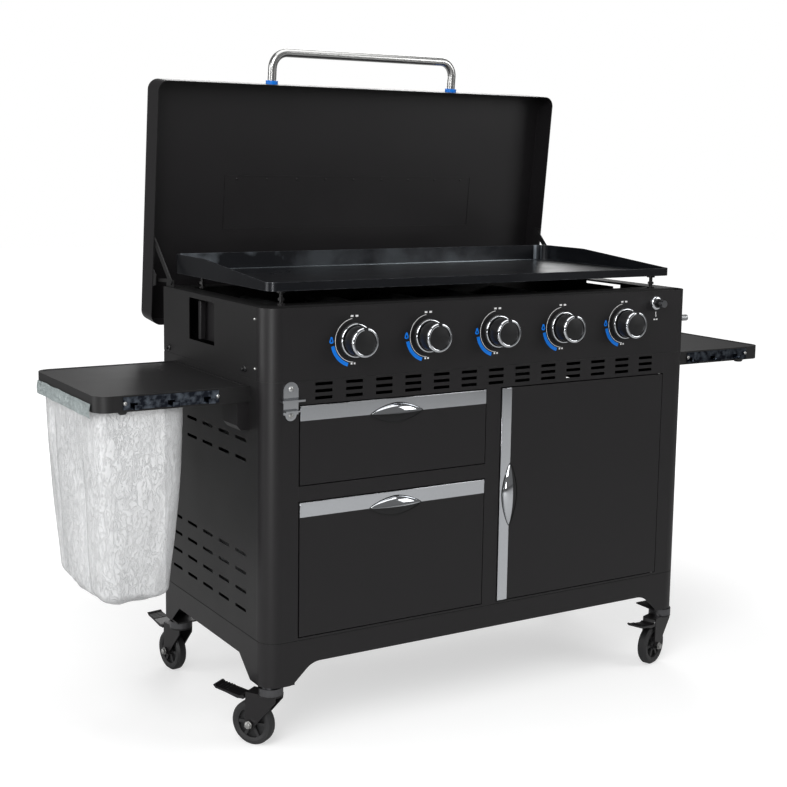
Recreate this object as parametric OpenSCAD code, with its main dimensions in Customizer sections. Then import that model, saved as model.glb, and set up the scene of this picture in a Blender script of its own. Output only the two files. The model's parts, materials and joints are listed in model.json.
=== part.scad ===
/* [Body] */
// Width of the cabinet
body_w = 1060; // [900:5:1300]
// Depth of the cabinet, front face to back face
body_d = 505; // [450:5:640]
// Radius of the two front vertical corners
corner_r = 35; // [20:1:40]
// Depth of the wrapped front, from the front face to the side seam
wrap_d = 41; // [41:1:60]
// Width of each front post
post_w = 70; // [55:1:90]
// Thickness of the cabinet sheet
sheet = 1.5; // [1:0.1:2.5]
// Top of the firebox above the ground
firebox_top = 871; // [800:1:980]
// Height of the firebox
firebox_h = 139; // [130:1:170]
// Height of the groove at the joints between the body's storeys
groove_h = 2; // [1:0.5:4]
// How far the groove is cut in
groove_in = 0.8; // [0.3:0.1:1.2]
// Top of the base skirt above the ground
skirt_top = 216; // [205:1:250]
// Underside of the base skirt between the legs
skirt_low = 169; // [160:1:180]
// Underside of the legs above the ground
leg_z = 128; // [118:1:135]

/* [Griddle plate] */
// Gap from the body's side to the plate
plate_side_gap = 24; // [20:1:40]
// Front edge of the plate behind the front face
plate_front = 36; // [30:1:60]
// Depth of the plate
plate_d = 471; // [380:1:480]
// Thickness of the plate's floor
plate_t = 5; // [3:0.5:8]
// Thickness of the plate's walls
plate_wall = 3; // [2:0.5:5]
// Clearance between firebox and plate
plate_lift = 29; // [20:1:35]
// Height of the plate's front lip, floor included
plate_lip = 17; // [10:1:20]
// Radius of the plate's corners in plan
plate_r = 22; // [8:1:40]
// Height of the plate's back wall, floor included
plate_back = 41; // [30:1:41]
// Part of the side walls that stays at full height
plate_flat = 155; // [60:5:300]

/* [Lid] */
// Height of the lid along its own plane
lid_h = 538; // [530:1:600]
// Depth of the lid
lid_depth = 60; // [56:1:90]
// Radius of the lid's corners
lid_r = 24; // [10:1:28]
// How far the lid's side overhangs the body
lid_over = 1; // [0.5:0.5:6]
// Lean of the open lid, top forward
lid_lean = 5.9; // [3:0.1:8]
// Rim of the open lid behind the body's back at its lower edge
lid_behind = 73.5; // [70:0.5:90]
// Lower edge of the open lid below the top of the firebox
lid_drop = 94; // [80:1:110]
// Half distance between the handle's posts
handle_half = 243; // [150:1:350]
// Radius of the handle's tube
handle_r = 9.8; // [7:0.1:14]
// Reach of the handle beyond the lid
handle_reach = 81; // [60:1:110]
// Radius of the handle's bends at the tube's centre
handle_bend = 35; // [25:1:45]
// Distance of the handle from the lid's open face
handle_b = 38; // [20:1:44]

/* [Lid links] */
// Long link's fixed pivot in front of the body's back
g1_back = 30.5; // [25:0.5:40]
// Long link's fixed pivot above the firebox
g1_up = 11; // [10:0.5:14]
// Short link's fixed pivot in front of the body's back
g2_back = 10; // [8:0.5:12]
// Short link's fixed pivot above the firebox
g2_up = 13; // [10:0.5:15]
// Long link's lid pivot up the lid
l1_a = 190.5; // [185:0.5:196]
// Long link's lid pivot behind the lid's open face
l1_b = 7.3; // [6:0.1:9]
// Short link's lid pivot up the lid
l2_a = 104.7; // [100:0.1:110]
// Short link's lid pivot in front of the lid's open face
l2_b = 12.7; // [10:0.1:14]
// Radius of the link pins
link_pin_r = 3.5; // [2.5:0.5:4]
// Width of the links
link_w = 12; // [10:0.5:12]
// Radius of the short links' pins
short_pin_r = 2.4; // [2:0.1:3]
// Width of the short links
short_w = 7.6; // [7:0.1:8]

/* [Drawers and door] */
// Bottom of the lower drawer front
bay_low = 222; // [220:0.5:235]
// Bottom of the rail between the drawers
rail_low = 495; // [420:1:540]
// Height of the rail between the drawers
rail_h = 30; // [15:1:45]
// Underside of the vent strip
vent_low = 684.5; // [660:0.5:700]
// Left edge of the middle post from the body's left side
mullion_x = 507; // [460:1:560]
// Width of the middle post
mullion_w = 36; // [25:1:60]
// Gap round the drawer fronts and the door
front_gap = 2.4; // [2:0.1:4]
// Thickness of the drawer fronts and the door
front_t = 16; // [14:1:20]
// How far the fronts stand proud of the body
front_proud = 1; // [0.5:0.5:2]
// Height of the chrome strips on the drawers
strip_h = 29; // [20:1:40]
// Width of the chrome strip on the door
strip_w = 25; // [18:1:40]
// Half length of the oval pulls on the drawers
pull_half = 60; // [40:1:80]
// Half height of the oval pulls on the drawers
pull_rise = 19; // [14:1:22]
// Half length of the oval pull on the door
door_pull_half = 67; // [50:1:90]
// Height of the middle of the door's pull
door_pull_z = 454; // [350:1:560]
// Depth of the drawer trays behind the fronts
tray_d = 420; // [300:1:440]
// Height of the upper tray
tray_up_h = 110; // [60:1:130]
// Height of the lower tray
tray_low_h = 210; // [120:1:235]
// Radius of the door's hinge pins
door_pin_r = 2.5; // [2:0.1:3]

/* [Knobs] */
// Number of burners
burner_count = 5; // [5:1:5]
// Distance between the knobs
knob_pitch = 169.8; // [140:0.1:190]
// Height of the knobs below the firebox's top
knob_down = 68; // [60:1:75]
// Radius of the knobs
knob_r = 30; // [22:0.5:36]
// How far the knobs stand out from the front
knob_reach = 45; // [38:1:55]
// Radius of the bezels round the knobs
bezel_r = 35; // [33:0.5:42]
// Depth of the bezels
bezel_t = 9; // [6:0.5:12]
// Radius of the valve stems
stem_r = 4; // [3:0.5:5]
// Travel of a knob when it is pushed
knob_push = 3; // [2:0.5:4]
// Running clearance on stems, pins and axles
run = 0.05; // [0.02:0.01:0.1]

/* [Shelves] */
// How far each shelf stands out from the body
shelf_out = 306.6; // [200:0.1:400]
// Front edge of the shelves behind the front face
shelf_front = 69; // [60:1:100]
// Depth of the shelves
shelf_d = 369.5; // [300:0.5:380]
// Top of the shelves above the ground
shelf_top = 717; // [690:1:725]
// Thickness of the shelves
shelf_t = 31; // [24:1:40]
// Radius of the shelves' outer corners
shelf_r = 30; // [10:1:50]
// Length of the hook rail
hook_len = 190; // [150:1:230]

/* [Trash bag] */
// Height of the bag
bag_h = 398; // [250:1:450]
// Width of the bag at its mouth, from the shelf's outer edge
bag_w = 190; // [120:1:280]
// Wall of the bag's solid
bag_wall = 4; // [3:0.5:8]

/* [Casters] */
// Radius of the wheels
wheel_r = 45; // [38:0.5:47]
// Width of the wheels
wheel_w = 24; // [18:1:30]
// Distance from the swivel to the wheel's axle
trail = 38; // [30:1:42]
// Distance of the swivels from the body's side
caster_x = 25; // [24:1:60]
// Distance of the swivels from the body's front and back
caster_y = 27; // [26:1:60]
// Radius of the axles
axle_r = 4; // [3:0.5:5]

/* [Hidden] */
$fn = 96;
W = body_w;
D = body_d;
// y of the front face, which puts the middle of the whole object's box at y = 0
y_back_end = D + lid_behind + lid_depth * cos(lid_lean);
front_y = -(y_back_end - knob_reach) / 2;
firebox_low = firebox_top - firebox_h;
cab_top = firebox_low - groove_h;
cab_low = skirt_top + groove_h;
knob_z = firebox_top - knob_down;
function knob_x(i) = (i - (burner_count - 1) / 2) * knob_pitch;
plate_z = firebox_top + plate_lift;
plate_w = W - 2 * plate_side_gap;
// layers of the lid's linkage, measured from the middle plane
lid_half = W / 2 + lid_over;
lid_in = lid_half - sheet;
bracket_t = 2;
bracket_h = max(g1_up + link_pin_r, g2_up + short_pin_r) + 0.6;
lidplate_x = lid_in - bracket_t;
link_t = 3;
layer_gap = 0.4;
long_x = lidplate_x - layer_gap - link_t;
ground_x = long_x - layer_gap - bracket_t;
short_x = ground_x - layer_gap - link_t;
g1 = [D - g1_back, firebox_top + g1_up];
g2 = [D - g2_back, firebox_top + g2_up];
lid_foot = [D + lid_behind, firebox_top - lid_drop];
function lid_pt(a, b) = [lid_foot[0] - a * sin(lid_lean) + b * cos(lid_lean),
                         lid_foot[1] + a * cos(lid_lean) + b * sin(lid_lean)];
l1 = lid_pt(l1_a, l1_b);
l2 = lid_pt(l2_a, -l2_b);
// bays of the cabinet's front, as x ranges from the middle
drawer_x0 = -W / 2 + post_w;
drawer_x1 = mullion_x - W / 2;
door_x0 = drawer_x1 + mullion_w;
door_x1 = W / 2 - post_w;
drawer_w = drawer_x1 - drawer_x0;
door_w = door_x1 - door_x0;
rail_top = rail_low + rail_h;
front_back = front_t - front_proud;
panel_t = 1.5;
bay_panel_t = 1.5;
pipe_y = wrap_d - 12;
pipe_r = 8;
inlet_r = 7;
inlet_len = 18;
inlet_step = 2;
slide_w = 8;
slide_h = 30;
tray_gap = 0.5;
tray_t = 1;
tray_x0 = drawer_x0 + bay_panel_t + slide_w + tray_gap;
tray_x1 = drawer_x1 - bay_panel_t - slide_w - tray_gap;
door_pin = [door_x1 - front_gap - 6, 4];
pin_len = 14;
// pulls are lens shapes: a circle arc of this radius makes each half
function arc_r(half, rise) = (half * half + rise * rise) / (2 * rise);
// slots in the sides
slot_len = 50;
slot_h = 6.5;
slot_ys = [112, 192, 272, 352, 432];
slot_zs = [606, 567.5, 377, 339.5, 301, 263.3];
// vents in the front
vent_count = 13;
vent_pitch = 67.7;
vent_len = 38;
vent_zs = [11, 24.6, 38.2];
// carrying windows in the firebox sides
window_y = [237, 365];
window_z = [41, 128.5];
// casters: side, end and the direction that each wheel trails, in degrees from +X
casters = [[-1, 0, 124], [1, 0, 200], [-1, 1, 98], [1, 1, 40]];
plate4 = 4;
plate_disc_r = 20;
head_r = 25;
head_h = 14;
fork_t = 3;
fork_top = leg_z - plate4 - head_h;
fork_half = wheel_w / 2 + 2;
pedal_len = 84;
pedal_w = 34;
pedal_pin_z = fork_top - 12;
leg_floor_t = 3;
igniter_x = 431;
igniter_z = firebox_top - 27;
igniter_r = 10;
igniter_reach = 28;
igniter_push = 5;
shelf_low = shelf_top - shelf_t;
bag_gap = 0.6;

// ---------- shared shapes ----------
module block(a, b) { translate(a) cube(b - a); }
// a rod along x, y or z
module rod_x(x0, x1, y, z, r) { translate([x0, y, z]) rotate([0, 90, 0]) cylinder(r = r, h = x1 - x0); }
module rod_y(x, y0, y1, z, r) { translate([x, y0, z]) rotate([-90, 0, 0]) cylinder(r = r, h = y1 - y0); }
module rod_z(x, y, z0, z1, r) { translate([x, y, z0]) cylinder(r = r, h = z1 - z0); }
// both sides, mirrored
module sides() { children(); mirror([1, 0, 0]) children(); }
module sides2d() { children(); mirror([1, 0]) children(); }
// flat rectangle with round corners, its middle at the origin
module round_rect(w, h, r) {
    square([w - 2 * r, h], center = true);
    square([w, h - 2 * r], center = true);
    for (x = [-1, 1], y = [-1, 1]) translate([x * (w / 2 - r), y * (h / 2 - r)]) circle(r);
}
// plan of the body: front corners round, back corners square
module plan(inset = 0, d = D) {
    r = corner_r - inset;
    w = W - 2 * inset;
    translate([-w / 2 + r, inset]) square([w - 2 * r, d - 2 * inset]);
    translate([-w / 2, inset + r]) square([w, d - 2 * inset - r]);
    for (s = [-1, 1]) translate([s * (w / 2 - r), inset + r]) circle(r);
}
module plan_wall() { difference() { plan(); plan(sheet); } }
// a part written from the front face is moved to its place
module placed() { translate([0, front_y, 0]) children(); }
// a lens whose long way is along x
module lens(half, rise) {
    r = arc_r(half, rise);
    intersection() {
        translate([0, rise - r]) circle(r, $fn = 180);
        translate([0, r - rise]) circle(r, $fn = 180);
    }
}

// ---------- griddle plate ----------
module plate_plan(inset)
    translate([0, plate_front + plate_d / 2])
        round_rect(plate_w - 2 * inset, plate_d - 2 * inset, plate_r - inset);
module griddle_plate() color("#15171a") placed() {
    translate([0, 0, plate_z]) linear_extrude(plate_t) plate_plan(0);
    intersection() {
        translate([0, 0, plate_z]) linear_extrude(plate_back) difference() {
            plate_plan(0);
            plate_plan(plate_wall);
        }
        translate([-plate_w / 2, 0, 0]) rotate([90, 0, 90]) linear_extrude(plate_w)
            polygon([[plate_front, plate_z], [plate_front + plate_d, plate_z],
                     [plate_front + plate_d, plate_z + plate_back],
                     [plate_front + plate_d - plate_flat, plate_z + plate_back],
                     [plate_front + plate_r, plate_z + plate_lip], [plate_front, plate_z + plate_lip]]);
    }
}
module plate_feet() color("#9a9da2") placed()
    for (x = [-1, 1], y = [plate_front + 26, plate_front + plate_d - 70])
        translate([x * (plate_w / 2 - 38), y, firebox_top]) {
            cylinder(r = 4, h = plate_lift);
            cylinder(r = 8, h = 3);
            translate([0, 0, 9]) cylinder(r = 7, h = 5, $fn = 6);
            translate([0, 0, plate_lift - 5]) cylinder(r = 9, h = 5);
        }

// ---------- firebox ----------
module firebox() color("#222326") placed() {
    flange = 45;
    difference() {
        block([-W / 2, wrap_d, firebox_low], [W / 2, D, firebox_top]);
        block([-W / 2 + sheet, wrap_d + sheet, firebox_low - 1], [W / 2 - sheet, D - sheet, firebox_top - sheet]);
        block([-W / 2 + flange, wrap_d + flange, firebox_top - sheet - 1], [W / 2 - flange, D - flange, firebox_top + 1]);
        sides() block([-W / 2 - 1, window_y[0], firebox_low + window_z[0]],
                      [-W / 2 + sheet + 1, window_y[1], firebox_low + window_z[1]]);
    }
    // the plate between firebox and cabinet, which makes the groove
    translate([0, 0, cab_top]) linear_extrude(groove_h) plan(groove_in);
}
module control_panel() color("#26262a") placed() difference() {
    translate([0, 0, firebox_low]) linear_extrude(firebox_h) difference() {
        intersection() { plan(); translate([-W, 0]) square([2 * W, wrap_d]); }
        plan(sheet);
    }
    for (i = [0 : burner_count - 1]) rod_y(knob_x(i), -1, sheet + 1, knob_z, stem_r + 3);
    rod_y(igniter_x, -1, sheet + 1, igniter_z, igniter_r - 1);
    rod_x(W / 2 - 12, W / 2 + 1, pipe_y, knob_z, pipe_r + 0.5);
}
burner_y0 = wrap_d + sheet;
burner_z = knob_z + 25;
burner_r = 16;
module burners() color("#8c8f94") placed()
    for (i = [0 : burner_count - 1]) {
        difference() {
            rod_y(knob_x(i), burner_y0, D - sheet, burner_z, burner_r);
            rod_y(knob_x(i), burner_y0 - 1, D - sheet - 10, burner_z, burner_r - 1.5);
        }
        block([knob_x(i) - 12, D - 60, firebox_low], [knob_x(i) + 12, D - 40, burner_z - burner_r + 1]);
    }
// manifold pipe with a valve behind each knob and the gas inlet at its right end
module gas_manifold() color("#a9adb2") placed() {
    rod_x(-knob_x(4) - 30, W / 2 + inlet_step, pipe_y, knob_z, pipe_r);
    rod_x(W / 2 + inlet_step, W / 2 + inlet_step + inlet_len, pipe_y, knob_z, inlet_r);
    for (i = [0 : burner_count - 1]) difference() {
        block([knob_x(i) - 12, 8, knob_z - 12], [knob_x(i) + 12, wrap_d, knob_z + 12]);
        rod_y(knob_x(i), 7, 19, knob_z, stem_r + run);
    }
}
module valve_stem(i) color("#b5b8bc") placed() {
    rod_y(knob_x(i - 1), -knob_reach + 12, 18, knob_z, stem_r);
}
// the knob: skirt, grip and domed face, with a blind bore for its stem
module knob(i) color("#1b1b1e") placed() {
    foot = knob_push + 1.5;
    translate([knob_x(i - 1), 0, knob_z]) rotate([90, 0, 0]) difference() {
        rotate_extrude() polygon(concat(
            [[0, foot], [knob_r - 4, foot], [knob_r - 4, bezel_t + knob_push + 1],
             [knob_r, bezel_t + knob_push + 1], [knob_r - 0.6, knob_reach - 3],
             [knob_r - 3.4, knob_reach], [knob_r - 9, knob_reach]],
            [for (k = [1 : 6]) [(knob_r - 9) * (1 - k / 6), knob_reach - 2.4 + 1.6 * (k / 6)]]));
        translate([0, 0, -1]) cylinder(r = stem_r + run, h = knob_reach - 12 + knob_push + 1.3);
    }
}
module panel_bezels() color("#2a2a2e") placed() {
    for (i = [0 : burner_count - 1]) translate([knob_x(i), 0, knob_z]) rotate([90, 0, 0])
        rotate_extrude() polygon([[knob_r - 1.5, 0], [bezel_r, 0], [bezel_r, bezel_t - 2.5],
                                  [bezel_r - 2, bezel_t], [knob_r - 1.5, bezel_t]]);
    translate([igniter_x, 0, igniter_z]) rotate([90, 0, 0])
        rotate_extrude() polygon([[igniter_r - 2, 0], [igniter_r + 4, 0], [igniter_r + 4, 4],
                                  [igniter_r, 6], [igniter_r, igniter_reach - 8], [igniter_r - 2, igniter_reach - 8]]);
}
module igniter_button() color("#d5d7da") placed() {
    rod_y(igniter_x, -igniter_reach, 3, igniter_z, igniter_r - 2 - run);
}

// ---------- lid ----------
module lid_placed() placed() translate([0, lid_foot[0], lid_foot[1]]) rotate([lid_lean, 0, 0]) children();
module lid_shell() color("#202023") lid_placed() {
    difference() {
        rotate([90, 0, 0]) translate([0, lid_h / 2, -lid_depth]) linear_extrude(lid_depth)
            round_rect(2 * lid_half, lid_h, lid_r);
        rotate([90, 0, 0]) translate([0, lid_h / 2, -lid_depth + sheet]) linear_extrude(lid_depth)
            round_rect(2 * lid_in, lid_h - 2 * sheet, lid_r - sheet);
    }
}
handle_top = lid_h + handle_reach - handle_r;
module lid_handle() color("#c9ccd0") lid_placed() {
    sides() {
        translate([handle_half, handle_b, lid_h]) cylinder(r = handle_r, h = handle_reach - handle_r - handle_bend);
        translate([handle_half - handle_bend, handle_b, handle_top - handle_bend]) rotate([90, 0, 0])
            rotate_extrude(angle = 90) translate([handle_bend, 0]) circle(handle_r, $fn = 48);
    }
    rod_x(-handle_half + handle_bend, handle_half - handle_bend, handle_b, handle_top, handle_r);
}
module handle_collars() color("#0a7fd6") lid_placed()
    for (x = [-1, 1]) translate([x * handle_half, handle_b, lid_h]) difference() {
        cylinder(r = handle_r + 4, h = 8);
        translate([0, 0, -1]) cylinder(r = handle_r + run, h = 10);
    }

// ---------- lid linkage ----------
// a flat link between two pivots in the plane across the body
module link(p, q, w, x, t, bore) {
    d = q - p;
    translate([x, 0, 0]) rotate([90, 0, 90]) linear_extrude(t) difference() {
        union() {
            translate(p) circle(w / 2);
            translate(q) circle(w / 2);
            translate(p) rotate(atan2(d[1], d[0])) translate([0, -w / 2]) square([norm(d), w]);
        }
        translate(p) circle(bore);
        translate(q) circle(bore);
    }
}
module lid_long_links() color("#3a3b3f") placed() sides()
    link(g1, l1, link_w, long_x, link_t, link_pin_r + run);
module lid_short_links() color("#3a3b3f") placed() sides()
    link(g2, l2, short_w, short_x, link_t, short_pin_r + run);
module lid_hinge_brackets() color("#3a3b3f") placed() sides() {
    // lower than the closed lid's rim
    block([ground_x, g1[0] - 11, firebox_top], [ground_x + bracket_t, D - 1, firebox_top + bracket_h]);
    block([ground_x - 22, g1[0] - 11, firebox_top], [ground_x, D - 1, firebox_top + 2]);
    rod_x(ground_x + bracket_t, lidplate_x - layer_gap / 2, g1[0], g1[1], link_pin_r);
    rod_x(short_x - 0.6, ground_x, g2[0], g2[1], short_pin_r);
}
module lid_pivot_brackets() color("#3a3b3f") placed() sides() {
    // a plate on the lid's side wall, with the long link's pin
    translate([lidplate_x, 0, 0]) rotate([90, 0, 90]) linear_extrude(bracket_t)
        polygon([lid_pt(l2_a - 10, -l2_b - 3), lid_pt(l2_a + 12, -l2_b - 3), lid_pt(l2_a + 22, 1),
                 lid_pt(l1_a + 12, 1), lid_pt(l1_a + 12, l1_b + 16), lid_pt(l2_a - 16, l1_b + 16),
                 lid_pt(l2_a - 16, 1)]);
    rod_x(long_x - 0.6, lidplate_x, l1[0], l1[1], link_pin_r);
}

// ---------- cabinet ----------
module front_posts() color("#242428") placed() {
    flange = 18;
    translate([0, 0, cab_low]) linear_extrude(cab_top - cab_low) difference() {
        intersection() { plan(); translate([-W, 0]) square([2 * W, wrap_d]); }
        plan(sheet);
        translate([-W / 2 + post_w, -1]) square([W - 2 * post_w, wrap_d + 2]);
    }
    sides() block([-W / 2 + post_w - sheet, sheet, cab_low], [-W / 2 + post_w, sheet + flange, cab_top]);
}
module slot(y, z) {
    r = slot_h / 2;
    for (s = [-1, 1]) rod_x(-W / 2 - 1, -W / 2 + sheet + 1, y + s * (slot_len / 2 - r), z, r);
    block([-W / 2 - 1, y - slot_len / 2 + r, z - r], [-W / 2 + sheet + 1, y + slot_len / 2 - r, z + r]);
}
module side_panel() placed() {
    difference() {
        block([-W / 2, wrap_d, cab_low], [-W / 2 + sheet, D, cab_top]);
        for (y = slot_ys, z = slot_zs) slot(y, z);
    }
    block([-W / 2 + sheet, wrap_d, cab_low], [-W / 2 + sheet + 15, wrap_d + sheet, cab_top]);
}
module side_panel_left() color("#3a3b3e") side_panel();
module side_panel_right() color("#3a3b3e") mirror([1, 0, 0]) side_panel();
module back_panel() color("#2c2d30") placed()
    block([-W / 2 + sheet, D - sheet, cab_low], [W / 2 - sheet, D, cab_top]);
module front_frame() color("#232327") placed() {
    difference() {
        block([drawer_x0, 0, cab_low], [door_x1, sheet, cab_top]);
        block([drawer_x0 - 1, -1, bay_low], [drawer_x1, sheet + 1, rail_low]);
        block([drawer_x0 - 1, -1, rail_top], [drawer_x1, sheet + 1, vent_low]);
        block([door_x0, -1, bay_low], [door_x1 + 1, sheet + 1, vent_low]);
        for (i = [0 : vent_count - 1], z = vent_zs)
            block([(i - (vent_count - 1) / 2) * vent_pitch - vent_len / 2, -1, vent_low + z - slot_h / 2],
                  [(i - (vent_count - 1) / 2) * vent_pitch + vent_len / 2, sheet + 1, vent_low + z + slot_h / 2]);
    }
    // folded edges behind the front sheet
    for (z = [vent_low, bay_low - sheet])
        block([drawer_x0, sheet, z], [door_x1, front_t + 2, z + sheet]);
    for (z = [rail_low, rail_top - sheet])
        block([drawer_x0, sheet, z], [drawer_x1, front_t + 2, z + sheet]);
    for (x = [drawer_x1, door_x0 - sheet])
        block([x, sheet, bay_low - sheet], [x + sheet, front_t + 2, vent_low + sheet]);
}
module cabinet_floor() color("#2c2d30") placed()
    translate([0, 0, skirt_top]) linear_extrude(groove_h) plan(groove_in);

// the leg's inner edge: a small round at its foot, a long round up to the arch
leg_foot_w = 52;
leg_round = 18;
arch_round = 45;
leg_slope = 43;
arch_rise = skirt_low - leg_z;
leg_bend = [leg_foot_w + leg_round * sin(leg_slope), leg_round * (1 - cos(leg_slope))];
arch_bend_z = arch_rise - arch_round * (1 - cos(leg_slope));
arch_end_x = leg_bend[0] + (arch_bend_z - leg_bend[1]) / tan(leg_slope) + arch_round * sin(leg_slope);
module front_leg() {
    // from the body's side inwards, bottom first
    translate([-W / 2, leg_z]) polygon(concat(
        [[0, 0]],
        [for (k = [0 : 6]) let (a = leg_slope * k / 6)
            [leg_foot_w + leg_round * sin(a), leg_round * (1 - cos(a))]],
        [for (k = [0 : 8]) let (a = leg_slope * (1 - k / 8))
            [arch_end_x - arch_round * sin(a), arch_rise - arch_round * (1 - cos(a))]],
        [[arch_end_x, skirt_top - leg_z], [0, skirt_top - leg_z]]));
}
module base_skirt() color("#242428") placed() {
    side_leg = [68, 119];
    intersection() {
        translate([0, 0, leg_z]) linear_extrude(skirt_top - leg_z) plan_wall();
        union() {
            // front arch with its legs, cut out of the wrapped wall
            rotate([90, 0, 0]) translate([0, 0, -corner_r - 1]) linear_extrude(corner_r + 2) union() {
                sides2d() front_leg();
                translate([-W / 2, skirt_low]) square([W, skirt_top - skirt_low]);
            }
            translate([-W, 0, 0]) rotate([90, 0, 90]) linear_extrude(2 * W) union() {
                polygon([[corner_r, leg_z], [side_leg[0], leg_z], [side_leg[1], skirt_low],
                         [side_leg[1], skirt_top], [corner_r, skirt_top]]);
                polygon([[D, leg_z], [D - 31, leg_z], [D - 78, skirt_low], [D - 78, skirt_top], [D, skirt_top]]);
                translate([corner_r, skirt_low]) square([D - corner_r, skirt_top - skirt_low]);
            }
        }
        // the back wall only keeps its legs and the band above them
        union() {
            block([-W, -1, leg_z], [W, D - sheet - 0.01, skirt_top]);
            sides() block([-W / 2, D - 5, leg_z], [-W / 2 + 60, D + 1, skirt_top]);
            block([-W / 2, D - 5, skirt_low], [W / 2, D + 1, skirt_top]);
        }
    }
    // a floor in each leg for its caster
    for (s = [-1, 1], e = [0, 1]) translate([0, 0, leg_z]) linear_extrude(leg_floor_t) intersection() {
        plan(sheet);
        translate([s * (W / 2 - caster_x) - 40, e == 0 ? 0 : D - 64]) square([80, 64]);
    }
}

// ---------- drawers ----------
slide_zs = [bay_low + 60, rail_top + 40];
module drawer_slides() color("#8f9296") placed() {
    // bay walls with a guide rail on each side of both drawers
    for (x = [drawer_x0, drawer_x1 - bay_panel_t])
        block([x, front_t + 2, cab_low], [x + bay_panel_t, D - 40, vent_low]);
    for (z = slide_zs) {
        block([drawer_x0 + bay_panel_t, front_t + 6, z], [drawer_x0 + bay_panel_t + slide_w, D - 45, z + slide_h]);
        block([drawer_x1 - bay_panel_t - slide_w, front_t + 6, z], [drawer_x1 - bay_panel_t, D - 45, z + slide_h]);
    }
}
module front_pan(x0, x1, z0, z1) {
    // a folded front: outer sheet with a rim, open at the back
    difference() {
        block([x0, -front_proud, z0], [x1, front_back, z1]);
        block([x0 + sheet, -front_proud + panel_t, z0 + sheet], [x1 - sheet, front_back + 1, z1 - sheet]);
    }
}
module drawer(z0, z1, tray_z, tray_h) {
    x0 = drawer_x0 + front_gap;
    x1 = drawer_x1 - front_gap;
    front_pan(x0, x1, z0 + front_gap, z1 - front_gap);
    difference() {
        block([tray_x0, -front_proud + panel_t, tray_z], [tray_x1, front_back + tray_d, tray_z + tray_h]);
        block([tray_x0 + tray_t, -front_proud + panel_t + tray_t, tray_z + tray_t],
              [tray_x1 - tray_t, front_back + tray_d - tray_t, tray_z + tray_h + 1]);
    }
}
module drawer_upper() color("#262629") placed() drawer(rail_top, vent_low, rail_top + 22, tray_up_h);
module drawer_lower() color("#262629") placed() drawer(bay_low, rail_low, bay_low + 30, tray_low_h);
// chrome strip with an oval cup pull on its lower edge
cup_out = 13;
module drawer_pull(top) {
    z = top - front_gap - strip_h;
    r = arc_r(pull_half, pull_rise);
    block([drawer_x0 + front_gap, -front_proud - 1.2, z], [drawer_x1 - front_gap, -front_proud, top - front_gap]);
    // a hooded shell over the upper half of the oval
    translate([(drawer_x0 + drawer_x1) / 2, -front_proud - 1.2, z]) rotate([90, 0, 0]) difference() {
        linear_extrude(cup_out) intersection() {
            lens(pull_half, pull_rise);
            translate([-pull_half, 0]) square([2 * pull_half, pull_rise]);
        }
        translate([0, 0, -1]) linear_extrude(cup_out - 1) intersection() {
            lens(pull_half - 3, pull_rise - 2);
            translate([-pull_half, -1]) square([2 * pull_half, pull_rise]);
        }
    }
}
module drawer_upper_pull() color("#d8dadd") placed() drawer_pull(vent_low);
module drawer_lower_pull() color("#d8dadd") placed() drawer_pull(rail_low);

// ---------- door ----------
module door() color("#262629") placed() {
    difference() {
        union() {
            front_pan(door_x0 + front_gap, door_x1 - front_gap, bay_low + front_gap, vent_low - front_gap);
            for (z = [bay_low + front_gap, vent_low - front_gap - pin_len])
                block([door_x1 - front_gap - 16, -front_proud + panel_t, z],
                      [door_x1 - front_gap, front_back, z + pin_len]);
        }
        rod_z(door_pin[0], door_pin[1], bay_low + front_gap - 1, bay_low + front_gap + pin_len - 2, door_pin_r + run);
        rod_z(door_pin[0], door_pin[1], vent_low - front_gap - pin_len + 2, vent_low - front_gap + 1, door_pin_r + run);
    }
}
module door_hinge_pins() color("#8f9296") placed() {
    rod_z(door_pin[0], door_pin[1], bay_low, bay_low + pin_len - 2, door_pin_r);
    rod_z(door_pin[0], door_pin[1], vent_low - pin_len + 2, vent_low, door_pin_r);
}
module door_pull() color("#d8dadd") placed() {
    x = door_x0 + front_gap;
    block([x, -front_proud - 1.2, bay_low + front_gap], [x + strip_w, -front_proud, vent_low - front_gap]);
    translate([x + strip_w, -front_proud - 1.2, door_pull_z]) rotate([90, 0, 0]) difference() {
        linear_extrude(cup_out) intersection() {
            rotate(90) lens(door_pull_half, pull_rise);
            translate([-pull_rise, -door_pull_half]) square([pull_rise, 2 * door_pull_half]);
        }
        translate([0, 0, -1]) linear_extrude(cup_out - 1) intersection() {
            rotate(90) lens(door_pull_half - 3, pull_rise - 2);
            translate([-pull_rise, -door_pull_half]) square([pull_rise + 1, 2 * door_pull_half]);
        }
    }
}

// ---------- shelves ----------
module shelf_plan(inset) {
    // outer corners round, inner end square against the body
    w = shelf_out - inset;
    d = shelf_d - 2 * inset;
    r = max(shelf_r - inset, 1);
    x = -W / 2 - w;
    y = shelf_front + inset;
    translate([x, y + r]) square([w - inset, d - 2 * r]);
    translate([x + r, y]) square([w - r - inset, d]);
    for (v = [r, d - r]) translate([x + r, y + v]) circle(r);
}
module shelf_full() {
    w = shelf_out;
    translate([-W / 2 - w, shelf_front + shelf_r]) square([w, shelf_d - 2 * shelf_r]);
    translate([-W / 2 - w + shelf_r, shelf_front]) square([w - shelf_r, shelf_d]);
    for (v = [shelf_r, shelf_d - shelf_r]) translate([-W / 2 - w + shelf_r, shelf_front + v]) circle(shelf_r);
}
module shelf() placed() difference() {
    translate([0, 0, shelf_low]) linear_extrude(shelf_t) shelf_full();
    translate([0, 0, shelf_low - 1]) linear_extrude(shelf_t - 2) shelf_plan(sheet);
    // shallow tray in the top
    translate([0, 0, shelf_top - 1]) linear_extrude(2) shelf_plan(9);
}
module shelf_left() color("#2c2c2f") shelf();
module shelf_right() color("#2c2c2f") mirror([1, 0, 0]) shelf();
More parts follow.
